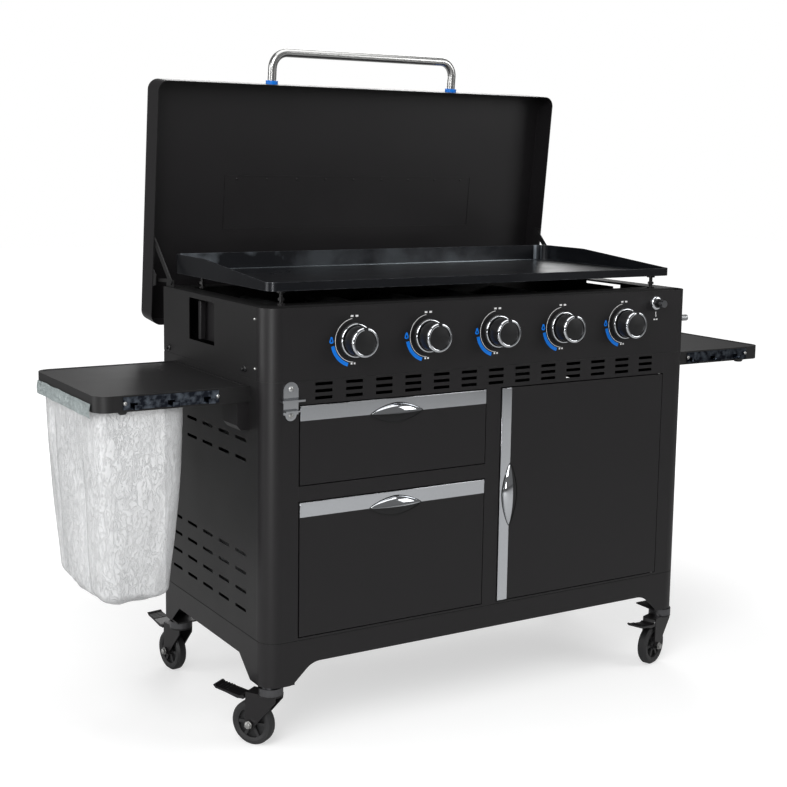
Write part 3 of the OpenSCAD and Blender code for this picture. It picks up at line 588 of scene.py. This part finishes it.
def arc_band(centre, inner, outer, start, end, depth, steps=40):
    """A flat ring segment facing the front; angles in degrees, clockwise from the top."""
    rings = []
    for k in range(steps + 1):
        a = math.radians(start + (end - start) * k / steps)
        out = Vector((math.sin(a), 0.0, math.cos(a)))
        rings.append([centre + out * inner, centre + out * outer,
                      centre + out * outer + Vector((0, -depth, 0)), centre + out * inner + Vector((0, -depth, 0))])
    return loft(rings)


def dress(names, material):
    """Gives CAD nodes a finish."""
    for name in names:
        mesh = NODES[name].data
        mesh.materials.clear()
        mesh.materials.append(material)


def soften(names, width):
    """Small rounds on a CAD node's sheet edges."""
    for name in names:
        rounding = NODES[name].modifiers.new("edge round", "BEVEL")
        rounding.width = width
        rounding.segments = 2
        rounding.limit_method = "ANGLE"
        rounding.angle_limit = math.radians(40)
        rounding.use_clamp_overlap = True
        rounding.harden_normals = True


# ---------------------------------------------------------------- operators


class GriddleOperator:
    bl_options = {"REGISTER", "UNDO"}

    def execute(self, context):
        self.build()
        return {"FINISHED"}


class GRIDDLE_OT_stage(GriddleOperator, bpy.types.Operator):
    """Camera, soft studio light, pale floor and backdrop"""

    bl_idname = "griddle.stage"
    bl_label = "Stage"

    def build(self):
        scene = bpy.context.scene
        self.camera(scene)
        self.lamps(scene)
        self.world(scene)
        self.floor()
        scene.view_settings.view_transform = "Standard"

    def camera(self, scene):
        yaw, pitch, roll = 0.5493, 0.1368, 0.0156
        front = low("control_panel").y
        place = Vector((-1.6651, front - 2.3187, 1.1547))
        ahead = Vector((math.sin(yaw) * math.cos(pitch), math.cos(yaw) * math.cos(pitch), -math.sin(pitch)))
        right = Vector((math.cos(yaw), -math.sin(yaw), 0.0))
        up = right.cross(ahead)
        rolled_right = right * math.cos(roll) + up * math.sin(roll)
        rolled_up = up * math.cos(roll) - right * math.sin(roll)
        data = bpy.data.cameras.new("Camera")
        data.lens = 63.48
        data.sensor_width = 36.0
        data.shift_x = -0.0029
        data.shift_y = -0.0567
        data.clip_end = 60.0
        obj = bpy.data.objects.new("Camera", data)
        turn = Matrix((rolled_right, rolled_up, -ahead)).transposed()
        obj.matrix_world = Matrix.Translation(place) @ turn.to_4x4()
        scene.collection.objects.link(obj)
        scene.camera = obj

    def lamps(self, scene):
        target = Vector((0.0, 0.0, 0.7))
        for name, place, size, power in (
                ("Key", (-2.6, -2.2, 2.6), 2.2, 95.0),
                ("Fill", (2.9, -2.6, 2.3), 2.0, 42.0),
                ("Top", (0.0, -0.4, 3.4), 2.6, 36.0),
                ("Left side", (-3.4, 0.8, 1.2), 1.8, 30.0),
                ("Low strip", (-2.4, -2.1, 0.62), 0.45, 9.0),
                ("Back", (1.6, 3.0, 2.4), 2.0, 45.0)):
            data = bpy.data.lights.new(name, "AREA")
            data.shape = "SQUARE"
            data.size = size
            data.energy = power
            obj = bpy.data.objects.new(name, data)
            obj.location = place
            obj.rotation_euler = (target - Vector(place)).to_track_quat("-Z", "Y").to_euler()
            scene.collection.objects.link(obj)

    def world(self, scene):
        world = bpy.data.worlds.new("Studio")
        scene.world = world
        world.use_nodes = True
        tree = world.node_tree
        background = tree.nodes["Background"]
        rays = tree.nodes.new("ShaderNodeLightPath")
        seen = math_node(tree, "MAXIMUM", rays.outputs["Is Camera Ray"], rays.outputs["Is Transmission Ray"])
        level = math_node(tree, "ADD", math_node(tree, "MULTIPLY", seen, 0.85), 0.15)
        tree.links.new(level, background.inputs["Strength"])
        background.inputs["Color"].default_value = WHITE

    def floor(self):
        half = 14.0
        verts = [(-half, -half, 0), (half, -half, 0), (half, half, 0), (-half, half, 0)]
        mesh = bpy.data.meshes.new("Floor")
        mesh.from_pydata(verts, [], [(0, 1, 2, 3)])
        material, tree, shader = start_material("pale_floor")
        shader.inputs["Base Color"].default_value = (0.55, 0.55, 0.55, 1.0)
        shader.inputs["Roughness"].default_value = 0.8
        shader.inputs["Specular IOR Level"].default_value = 0.0
        place = tree.nodes.new("ShaderNodeTexCoord")
        length = tree.nodes.new("ShaderNodeVectorMath")
        length.operation = "LENGTH"
        tree.links.new(place.outputs["Object"], length.inputs[0])
        fade = tree.nodes.new("ShaderNodeMapRange")
        for label, value in (("From Min", 0.9), ("From Max", 2.6), ("To Min", 0.55), ("To Max", 1.0)):
            fade.inputs[label].default_value = value
        tree.links.new(length.outputs["Value"], fade.inputs["Value"])
        rays = tree.nodes.new("ShaderNodeLightPath")
        glow = math_node(tree, "MULTIPLY", fade.outputs["Result"], rays.outputs["Is Camera Ray"])
        shader.inputs["Emission Color"].default_value = WHITE
        tree.links.new(glow, shader.inputs["Emission Strength"])
        mesh.materials.append(material)
        obj = bpy.data.objects.new("Floor", mesh)
        bpy.context.scene.collection.objects.link(obj)


class GRIDDLE_OT_finishes(GriddleOperator, bpy.types.Operator):
    """Finishes of the construction's own pieces"""

    bl_idname = "griddle.finishes"
    bl_label = "Finishes"

    def build(self):
        dress(["griddle_plate"], seasoned_steel())
        dress(["door_hinge_pins"], zinc())
        dress(["caster_plates"], dark_metal())
        dress(["plate_feet"], coat())
        dress(["control_panel", "front_posts", "front_frame", "base_skirt", "lid_shell", "drawer_upper",
               "drawer_lower", "door", "cabinet_floor", "shelf_brackets", "back_panel"], coat())
        dress(["side_panel_left", "side_panel_right", "shelf_left", "shelf_right", "firebox"], side_coat())
        dress(["lid_long_links", "lid_short_links", "lid_hinge_brackets", "lid_pivot_brackets"], side_coat())
        dress(["burners", "drawer_slides", "gas_manifold"], galvanised())
        dress(["valve_stem_%d" % i for i in range(1, 6)], zinc())
        dress(["knob_%d" % i for i in range(1, 6)] + ["panel_bezels"], plastic())
        dress(["igniter_button", "bottle_opener"], chrome())
        dress(["hook_rails"], chrome_with_painted_reflection())
        dress(["drawer_upper_pull", "drawer_lower_pull", "door_pull"], chrome())
        dress(["lid_handle"], stainless())
        dress(["handle_collars"], accent())
        dress(["trash_bag"], film())
        for i in range(1, 5):
            dress(["caster_fork_%d" % i, "caster_brake_%d" % i], coat())
            dress(["caster_wheel_%d" % i], rubber())
        round_edges = ["griddle_plate", "control_panel", "front_posts", "drawer_upper", "drawer_lower", "door",
                       "shelf_left", "shelf_right", "lid_shell", "firebox", "bottle_opener", "base_skirt"]
        soften(round_edges, settings().edge_round)
        for name in NODES:
            smooth_normals(NODES[name])


def smooth_normals(obj):
    """Smooth shading, with edges sharper than an angle, and open edges, kept crisp."""
    for polygon in obj.data.polygons:
        polygon.use_smooth = True
    limit = math.radians(32)
    mesh = obj.data
    edge_faces = {}
    for polygon in mesh.polygons:
        for key in polygon.edge_keys:
            edge_faces.setdefault(key, []).append(polygon.index)
    sharp = mesh.attributes.get("sharp_edge") or mesh.attributes.new("sharp_edge", "BOOLEAN", "EDGE")
    values = [False] * len(mesh.edges)
    for edge in mesh.edges:
        owners = edge_faces.get(edge.key, [])
        if len(owners) == 2:
            first, second = (mesh.polygons[i].normal for i in owners)
            values[edge.index] = first.angle(second, 0.0) > limit
        else:
            values[edge.index] = True
    sharp.data.foreach_set("value", values)


class GRIDDLE_OT_knobs(GriddleOperator, bpy.types.Operator):
    """Knobs with their chrome rings, bezels and printed heat marks"""

    bl_idname = "griddle.knobs"
    bl_label = "Knobs"

    def build(self):
        panel_front = low("control_panel").y
        for i in range(1, 6):
            self.knob(i)
            self.marks(i, panel_front)
        self.igniter_marks(panel_front)

    def knob(self, i):
        name = "knob_%d" % i
        a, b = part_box(name)
        centre = Vector(((a.x + b.x) / 2, b.y, (a.z + b.z) / 2))
        radius = (b.x - a.x) / 2
        depth = b.y - a.y
        face = centre + Vector((0, -depth, 0))
        body = name
        grip = [(0.0, 0.0), (radius - 0.004, 0.0), (radius - 0.004, 0.0085), (radius - 0.0006, 0.0095),
                (radius - 0.0014, depth - 0.0075), (radius - 0.0026, depth - 0.0045), (0.0, depth - 0.0045)]
        verts, faces = turned(centre, (0, -1, 0), grip, 72)
        whole = piece("%s_grip" % name, verts, faces, plastic(), body, "black_plastic")
        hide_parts(name)
        # a chrome ring on the face, open at the top where the pointer is
        section = [(radius - 0.0064, 0.0042), (radius - 0.0060, 0.0006), (radius - 0.0046, 0.0001),
                   (radius - 0.0024, 0.0004), (radius - 0.0008, 0.0024), (radius - 0.0004, 0.0048)]
        rings = []
        steps = 72
        for k in range(steps + 1):
            a_turn = math.radians(10 + 340 * k / steps)
            out = Vector((math.sin(a_turn), 0, math.cos(a_turn)))
            rings.append([face + out * r + Vector((0, d, 0)) for r, d in section])
        verts, faces = loft(rings)
        piece("%s_ring" % name, verts, faces, chrome(), body, "chrome", 50)
        cap = [(0.0, 0.0), (radius - 0.0068, 0.0), (radius - 0.0072, 0.0006), (radius * 0.5, 0.0018), (0.0, 0.0024)]
        verts, faces = turned(face + Vector((0, 0.0030, 0)), (0, -1, 0), cap, 72)
        piece("%s_cap" % name, verts, faces, satin_black(), body, "black_plastic", 40)
        # chrome edge on the fixed bezel
        bezel = Vector((centre.x, low("control_panel").y, centre.z))
        outer = radius + 0.0032
        verts, faces = turned(bezel, (0, -1, 0), [(outer - 0.0026, 0.0088), (outer - 0.002, 0.0099),
                              (outer - 0.0008, 0.0098), (outer, 0.0088)], 72)
        piece("bezel_edge_%d" % i, verts, [f for f in faces if len(f) == 4], chrome(), "base", "chrome", 60)

    def igniter_marks(self, panel_front):
        """Small printed marks below the igniter."""
        at = middle("igniter_button")
        lift = settings().print_lift
        parts = [slab((at.x + dx, panel_front - lift / 2, at.z - dz), (w, lift, h))
                 for dx, dz, w, h in ((0.0, 0.0225, 0.0022, 0.006), (0.0008, 0.0285, 0.0022, 0.005),
                                      (-0.0035, 0.0365, 0.005, 0.0028), (0.0035, 0.0365, 0.005, 0.0028))]
        piece("igniter_marks", *merge(*parts), white_print(), "base", "chrome", 0)
        ring = [(0.0105, 0.0), (0.0152, 0.0), (0.0156, 0.0022), (0.0142, 0.0048), (0.0112, 0.0064), (0.0105, 0.0064)]
        ring_at = Vector((at.x, panel_front, at.z))
        verts, faces = turned(ring_at, (0, -1, 0), ring, 48)
        piece("igniter_ring", verts, [f for f in faces if len(f) == 4], chrome(), "base", "chrome", 50)

    def marks(self, i, panel_front):
        centre = middle("knob_%d" % i)
        at = Vector((centre.x, panel_front, centre.z))
        lift = settings().print_lift
        name = "knob_%d" % i
        thin = arc_band(at, 0.0424, 0.0434, -8, -176, lift)
        piece("print_arc_%d" % i, *thin, white_print(), "base", "chrome", 0)
        thick = arc_band(at, 0.0455, 0.0528, -101, -163, lift)
        ticks = []
        for side in (-1, 1):
            ticks.append(slab(at + Vector((side * 0.0055 - 0.001, -lift / 2, 0.0475)), (0.0060, lift, 0.0036)))
            ticks.append(slab(at + Vector((side * 0.0034 - 0.003, -lift / 2, -0.0455)), (0.0036, lift, 0.0036)))
        piece("print_ticks_%d" % i, *merge(*ticks), white_print(), "base", "chrome", 0)
        flame = self.flame(at + Vector((-0.0512, 0, 0.0008)), 0.0070, lift)
        piece("print_heat_%d" % i, *merge(thick, flame), accent(), "base", "blue_anodised", 0)

    def flame(self, at, size, lift):
        """A small drop shape with a hole, as a flame."""
        outline = []
        for k in range(24):
            a = 2 * math.pi * k / 24
            r = size * (0.78 + 0.35 * max(0.0, math.cos(a)) ** 6 + 0.08 * math.cos(3 * a))
            outline.append((r * math.sin(a) * 0.8, r * math.cos(a)))
        rings = []
        for scale, depth in ((1.0, 0.0), (1.0, lift), (0.42, lift), (0.42, 0.0)):
            rings.append([at + Vector((x * scale, -depth, z * scale)) for x, z in outline])
        verts, faces = loft(rings, caps=False)
        return verts, faces


class GRIDDLE_OT_pulls(GriddleOperator, bpy.types.Operator):
    """Chrome strips with oval cup pulls on drawers and door"""

    bl_idname = "griddle.pulls"
    bl_label = "Pulls"

    def build(self):
        for name in ("drawer_upper_pull", "drawer_lower_pull"):
            a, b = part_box(name)
            face = b.y - 0.0
            centre = Vector(((a.x + b.x) / 2, face, a.z))
            self.oval(name, centre, Vector((1, 0, 0)), Vector((0, 0, 1)), 0.060, 0.0195)
            self.strip(name, a, b)
        a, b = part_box("door_pull")
        centre = Vector((b.x, b.y, self.door_height()))
        self.oval("door_pull", centre, Vector((0, 0, 1)), Vector((-1, 0, 0)), 0.067, 0.0195)
        self.strip("door_pull", a, b)

    def door_height(self):
        a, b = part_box("door_pull")
        points = [v.co for v in NODES["door_pull"].data.vertices if v.co.y < b.y - 0.006]
        return (min(p.z for p in points) + max(p.z for p in points)) / 2

    def strip(self, name, a, b):
        body = NODES[name]["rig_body"]
        thickness = 0.0012
        verts, faces = slab(((a.x + b.x) / 2, b.y - thickness / 2, (a.z + b.z) / 2),
                            (b.x - a.x, thickness, b.z - a.z))
        obj = piece(name + "_strip", verts, faces, chrome(), body, "chrome")
        rounding = obj.modifiers.new("round", "BEVEL")
        rounding.width = 0.0005
        rounding.segments = 2
        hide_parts(name)

    def oval(self, name, centre, along, up, half, rise):
        """A bulging half shell over a recess with a raised rim; the recess and the rim are near-black as painted shade.
        """
        body = NODES[name]["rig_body"]
        out = Vector((0, -1, 0))
        steps = 48

        def lens(t, scale=1.0):
            """Point of the pointed oval at t from 0 to 1 round its outline."""
            a = 2 * math.pi * t
            x = math.cos(a)
            z = math.copysign((1 - abs(x) ** 1.7) ** 0.8, math.sin(a)) if abs(x) < 1 else 0.0
            return along * (x * half * scale) + up * (z * rise * scale)

        rings = []
        layers = 10
        for k in range(layers + 1):
            bulge = math.radians(90) * k / layers
            scale = math.cos(bulge)
            ring = []
            for j in range(steps // 2 + 1):
                point = lens(j / steps)
                flat = along * point.dot(along) + up * (point.dot(up) * scale)
                reach = 0.0125 * math.sin(bulge) * (1 - (abs(point.dot(along)) / half) ** 2.2)
                ring.append(centre + flat + out * (0.0012 + reach))
            rings.append(ring)
        verts, faces = loft(rings, close=False, caps=False)
        shell = piece(name + "_cup", verts, faces, chrome(), body, "chrome", 60)
        wall = shell.modifiers.new("wall", "SOLIDIFY")
        wall.thickness = 0.0011
        wall.offset = -1
        # raised rim round the whole oval, near-black as painted shade along the cup's edge
        rim = []
        for j in range(steps):
            point = lens(j / steps)
            outwards = lens(j / steps, 1.05) - point
            outwards = outwards.normalized() * 0.0016
            rim.append([centre + point - outwards * 0.4 + out * 0.0002, centre + point - outwards * 0.4 + out * 0.0019,
                        centre + point + outwards + out * 0.0019, centre + point + outwards + out * 0.0002])
        rim.append(rim[0])
        verts, faces = loft(rim, caps=False)
        piece(name + "_rim", verts, faces, painted_shade_black(), body, "black_plastic", 60)
        # painted shade: a nearly flat dark sheet just off the strip, below the hood, stands for the shaded recess
        inner = [centre + lens(j / steps, 0.97) + out * 0.0006 for j in range(steps)]
        deep = [centre + lens(j / steps, 0.8) + out * 0.0004 for j in range(steps)]
        verts, faces = loft([inner, deep], caps=False)
        faces.append(tuple(range(steps, 2 * steps)))
        piece(name + "_recess", verts, faces, plastic(), body, "black_plastic", 60)


class GRIDDLE_OT_lid_details(GriddleOperator, bpy.types.Operator):
    """Stiffener outline and rivets inside the lid"""

    bl_idname = "griddle.lid_details"
    bl_label = "Lid details"

    def build(self):
        lean = math.radians(5.9)
        up = Vector((0, -math.sin(lean), math.cos(lean)))
        back = Vector((0, math.cos(lean), math.sin(lean)))
        a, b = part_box("lid_shell")
        foot = Vector((0, b.y - 0.06 * math.cos(lean), a.z))
        inside = 0.0582
        parts = []
        left, right, bottom, top = -0.34, 0.336, 0.205, 0.328
        line = 0.0016

        def at(x, h, d):
            return foot + Vector((x, 0, 0)) + up * h + back * d

        for x0, x1, h0, h1 in ((left, right, top - line, top), (left, right, bottom, bottom + line),
                               (left, left + line, bottom, top), (right - line, right, bottom, top)):
            ring0 = [at(x0, h0, inside), at(x1, h0, inside), at(x1, h1, inside), at(x0, h1, inside)]
            ring1 = [p - back * 0.0006 for p in ring0]
            parts.append(loft([ring0, ring1]))
        piece("lid_stiffener", *merge(*parts), coat(), "lid", "black_powder_coat", 0)
        rivets = []
        for k in range(9):
            centre = at(left + 0.03 + (right - left - 0.06) * k / 8, top - 0.008, inside)
            rivets.append(turned(centre, -back, [(0.0026, 0.0), (0.0024, 0.0008), (0.0014, 0.0014), (0.0, 0.0016)], 16))
        piece("lid_rivets", *merge(*rivets), coat(), "lid", "black_powder_coat", 50)


class GRIDDLE_OT_fasteners(GriddleOperator, bpy.types.Operator):
    """Screws, thumb screws, carry bars, shelf stops, a painted highlight line on the plate and seam lines of painted
    shade
    """

    bl_idname = "griddle.fasteners"
    bl_label = "Fasteners"

    def screw(self, centre, axis, radius=0.0045):
        return turned(Vector(centre), axis, [(radius, 0.0), (radius, 0.0008), (radius * 0.8, 0.0022),
                                             (radius * 0.45, 0.003), (0.0, 0.0031)], 20)

    def build(self):
        side = low("firebox").x
        y = high("control_panel").y
        top = high("firebox").z
        screws = []
        for sign in (-1, 1):
            for dy, dz in ((0.007, -0.023), (0.006, -0.118)):
                screws.append(self.screw((sign * abs(side), y + dy, top + dz), (sign, 0, 0), 0.003))
            a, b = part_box("hook_rails")
            shelf_x = abs(side)
            for dx in (0.068, 0.252):
                screws.append(self.screw((sign * (shelf_x + dx), a.y + 0.0124, (a.z + b.z) / 2), (0, -1, 0), 0.004))
        a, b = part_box("bottle_opener")
        for z in (a.z + 0.0105, b.z - 0.0135):
            screws.append(self.screw(((a.x + b.x) / 2, b.y - 0.0025, z), (0, -1, 0), 0.0052))
        piece("screws", *merge(*screws), zinc(), "base", "zinc", 40)
        self.thumb_screws(abs(side), y, top)
        self.carry_bars(abs(side))
        self.plate_line()
        self.stops()
        self.seams()

    def seams(self):
        """Painted shade: dark lines in the grooves between the body's storeys, where the grooves fall in shade, and
        dark lines down each side's joint.
        """
        panel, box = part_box("control_panel"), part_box("firebox")
        half = box[1].x
        front, seam, back = panel[0].y, panel[1].y, box[1].y
        radius, inset, thin = 0.035, 0.0007, 0.0001
        path = [(-half, back)]
        for sign in (-1, 1):
            for k in range(17):
                turn = math.radians(90 * k / 16)
                turn = turn if sign < 0 else math.radians(90) - turn
                path.append((sign * (half - radius + radius * math.cos(turn)), front + radius - radius * math.sin(turn)))
        path.append((half, back))
        corner = Vector((0.0, front + radius, 0.0))
        parts = []
        for z0, z1 in ((high("front_posts").z, box[0].z), (high("base_skirt").z, low("front_posts").z)):
            rings = []
            for x, y in path:
                centre = Vector((math.copysign(half - radius, x), max(y, corner.y), 0.0))
                inwards = (centre - Vector((x, y, 0.0))).normalized()
                outer = Vector((x, y, 0.0)) + inwards * inset
                inner = outer + inwards * thin
                rings.append([outer + Vector((0, 0, z0)), inner + Vector((0, 0, z0)),
                              inner + Vector((0, 0, z1)), outer + Vector((0, 0, z1))])
            parts.append(loft(rings))
        for sign in (-1, 1):
            parts.append(slab((sign * (half + 0.00005), seam, (box[0].z + box[1].z) / 2), (thin, 0.0012, box[1].z - box[0].z)))
        piece("seam_lines", *merge(*parts), painted_shade_black(), "base", "black_plastic", 0)

    def thumb_screws(self, side, y, top):
        """Dark screws near the lower edge of each firebox side."""
        parts = []
        for sign in (-1, 1):
            for dy, dz in ((0.051, -0.124), (0.433, -0.130)):
                at = Vector((sign * side, y + dy, top + dz))
                parts.append(turned(at, (sign, 0, 0), [(0.007, 0.0), (0.007, 0.002), (0.0045, 0.0035),
                                                       (0.0045, 0.0075), (0.003, 0.009), (0.0, 0.0092)], 20))
        piece("thumb_screws", *merge(*parts), plastic(), "base", "black_plastic", 40)

    def carry_bars(self, side):
        """The grip behind each carry window."""
        parts = []
        for sign in (-1, 1):
            x = sign * (side - 0.012)
            parts.append(slab((x, 0.030, 0.816), (0.010, 0.012, 0.080)))
            parts.append(slab((sign * (side - 0.022), 0.004, 0.816), (0.002, 0.125, 0.084)))
        obj = piece("carry_bars", *merge(*parts), coat(), "base", "black_powder_coat", 30)
        rounding = obj.modifiers.new("round", "BEVEL")
        rounding.width = 0.003
        rounding.segments = 3

    def plate_line(self):
        """A painted highlight: a bright metal line where the plate meets its back wall."""
        a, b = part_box("griddle_plate")
        at = Vector(((a.x + b.x) / 2, b.y - 0.0045, a.z + 0.0056))
        strip = slab(at, (b.x - a.x - 0.06, 0.0022, 0.0012))
        piece("plate_line", *strip, metal("painted_highlight_steel", (0.5, 0.56, 0.6), 0.22), "base", "seasoned_steel", 0)

    def stops(self):
        feet = []
        a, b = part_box("shelf_left")
        for sign in (-1, 1):
            feet.append(turned(Vector((sign * (abs(a.x) - 0.055), a.y + 0.02, a.z)), (0, 0, -1),
                               [(0.011, 0.0), (0.011, 0.004), (0.0085, 0.007), (0.0, 0.0075)], 24))
        piece("shelf_stops", *merge(*feet), plastic(), "base", "black_plastic", 40)


class GRIDDLE_OT_bag(GriddleOperator, bpy.types.Operator):
    """The trash bag: a hanging sleeve of thin film with a folded hem"""

    bl_idname = "griddle.bag"
    bl_label = "Trash bag"

    def build(self):
        a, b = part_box("trash_bag")
        around, along = 280, 160
        crease = settings().crease
        margin = 0.005
        height = b.z - a.z
        rings = []
        for i in range(along + 1):
            v = i / along
            # v runs down the bag, which closes in a short flattened foot
            z = b.z - 0.001 - (height - 0.004) * v
            foot = max(0.0, (v - 0.9) / 0.1)
            close = math.sqrt(max(0.0, 1 - foot ** 2.2)) if foot else 1.0
            x0 = a.x + margin + 0.016 * v ** 1.8
            x1 = b.x - margin - 0.024 * v ** 2
            y0 = a.y + margin + 0.024 * v ** 2
            y1 = b.y - margin - 0.040 * v ** 1.8
            power = 0.20 + 0.22 * v
            ring = []
            for j in range(around):
                t = 2 * math.pi * j / around
                c, s = math.cos(t), math.sin(t)
                x = math.copysign(abs(c) ** power, c) * (x1 - x0) / 2 * close
                y = math.copysign(abs(s) ** power, s) * (y1 - y0) / 2 * close
                fold = noise.noise(Vector((x * 14, y * 14, z * 2.2)) + Vector((5, 2, 1)))
                fine = noise.noise(Vector((x * 42, y * 42, z * 7.0)))
                sharp = 1 - 2 * abs(noise.noise(Vector((x * 26, y * 26, z * 5.0 + 3))))
                depth = crease * (0.75 * fold + 0.3 * fine + 0.35 * sharp * (0.4 + v)) * min(1.0, v * 8 + 0.1)
                depth += self.pleat(x, y, v)
                out = Vector((x, y, 0))
                if out.length > 1e-6:
                    out.normalize()
                drop = crease * 0.6 * noise.noise(Vector((x * 22, y * 22, z * 16)))
                ring.append(Vector(((x0 + x1) / 2 + x, (y0 + y1) / 2 + y, z + drop * (1 if v > 0.03 else 0))) + out * depth)
            rings.append(ring)
        verts, faces = loft(rings, caps=False)
        tip = len(verts)
        verts.append(sum(rings[-1], Vector()) / around)
        last = along * around
        faces += [(last + j, last + (j + 1) % around, tip) for j in range(around)]
        bag = piece("bag_film", verts, faces, film(), "base", "clear_film", 70)
        self.keep_inside(bag, a, b)
        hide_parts("trash_bag")
        hem = self.hem(a, b)

    def pleat(self, x, y, v):
        """Long folds that run down the bag's outer rear corner and its outer side."""
        if x > 0:
            return 0.0
        wander = 0.006 * math.sin(9 * v)
        sides = (((0.092 + wander) - y) / 0.011, ((0.020 + wander) - y) / 0.009, ((-0.062 + wander) - y) / 0.010)
        return -0.011 * min(1.0, v * 6) * sum(math.exp(-at * at) for at in sides)

    def keep_inside(self, obj, a, b):
        for vertex in obj.data.vertices:
            for axis in range(3):
                vertex.co[axis] = min(max(vertex.co[axis], a[axis] + 0.0005), b[axis] - 0.0003)

    def hem(self, a, b):
        """The mouth's edge, folded up over the shelf's outer side."""
        sa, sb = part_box("shelf_left")
        rows = []
        radius = 0.026
        top = sb.z - 0.016
        count = 420
        for i in range(9):
            v = i / 8
            row = []
            for j in range(count + 1):
                u = j / count
                y = sa.y + radius + (sb.y - sa.y - 2 * radius) * u
                ruffle = 0.0014 * math.sin(y * 620 + 4 * noise.noise(Vector((y * 40, 0, 2)))) * (0.3 + v)
                z = top - 0.027 * v + 0.0015 * noise.noise(Vector((y * 25, v, 9.0)))
                row.append(Vector((sa.x - 0.0016 - abs(ruffle) - 0.0018 * math.sin(math.pi * v), y, z)))
            rows.append(row)
        verts, faces = loft(rows, close=False, caps=False)
        return piece("bag_hem", verts, faces, hem_film(), "base", "clear_film", 70)


class GRIDDLE_OT_casters(GriddleOperator, bpy.types.Operator):
    """Hub caps and pedal ribs of the casters"""

    bl_idname = "griddle.casters"
    bl_label = "Casters"

    def build(self):
        for joint in frame["joints"]:
            if joint["name"].endswith("_roll"):
                self.hub(joint)
            if joint["name"].endswith("_brake"):
                self.ribs(joint)

    def hub(self, joint):
        body = joint["parent"]
        axis = Vector(joint["axis"]).normalized()
        centre = Vector(joint["pos_m"])
        parts = []
        for sign in (-1, 1):
            base = centre + axis * sign * 0.0208
            parts.append(turned(base, axis * sign, [(0.0085, 0.0), (0.0085, 0.0012), (0.0068, 0.0016), (0.0066, 0.0056),
                                                    (0.0042, 0.0068), (0.0, 0.0070)], 6 if sign > 0 else 28))
        piece("axle_bolt_%s" % body[-1], *merge(*parts), zinc(), body, "zinc", 30)

    def ribs(self, joint):
        body = joint["child"]
        axis = Vector(joint["axis"]).normalized()
        pin = Vector(joint["pos_m"])
        ahead = axis.cross(Vector((0, 0, 1))).normalized()
        parts = []
        for k in range(5):
            spot = pin + ahead * (0.038 + 0.006 * k) + Vector((0, 0, 0.0070 + 0.0010 * k))
            side = axis * 0.018
            thick = ahead * 0.0012
            ring0 = [spot - side - thick, spot + side - thick, spot + side + thick, spot - side + thick]
            parts.append(loft([ring0, [p + Vector((0, 0, 0.0012)) for p in ring0]]))
        piece("pedal_ribs_%s" % body[-1], *merge(*parts), coat(), body, "black_powder_coat", 30)


class GRIDDLE_PT_panel(bpy.types.Panel):
    """The griddle's tools in the sidebar"""

    bl_idname = "GRIDDLE_PT_panel"
    bl_label = "Flat top griddle"
    bl_space_type = "VIEW_3D"
    bl_region_type = "UI"
    bl_category = "Griddle"

    def draw(self, context):
        for operator in OPERATORS:
            self.layout.operator(operator.bl_idname)
        for name in GriddleSettings.__annotations__:
            self.layout.prop(context.scene.griddle, name)


OPERATORS = (GRIDDLE_OT_stage, GRIDDLE_OT_finishes, GRIDDLE_OT_knobs, GRIDDLE_OT_pulls, GRIDDLE_OT_lid_details,
             GRIDDLE_OT_fasteners, GRIDDLE_OT_bag, GRIDDLE_OT_casters)
CLASSES = (GriddleSettings, *OPERATORS, GRIDDLE_PT_panel)


def register():
    for cls in CLASSES:
        bpy.utils.register_class(cls)
    bpy.types.Scene.griddle = bpy.props.PointerProperty(type=GriddleSettings)


def unregister():
    del bpy.types.Scene.griddle
    for cls in reversed(CLASSES):
        bpy.utils.unregister_class(cls)


def main():
    register()
    for operator in OPERATORS:
        group, name = operator.bl_idname.split(".")
        getattr(getattr(bpy.ops, group), name)()


if __name__ == "__main__":
    main()
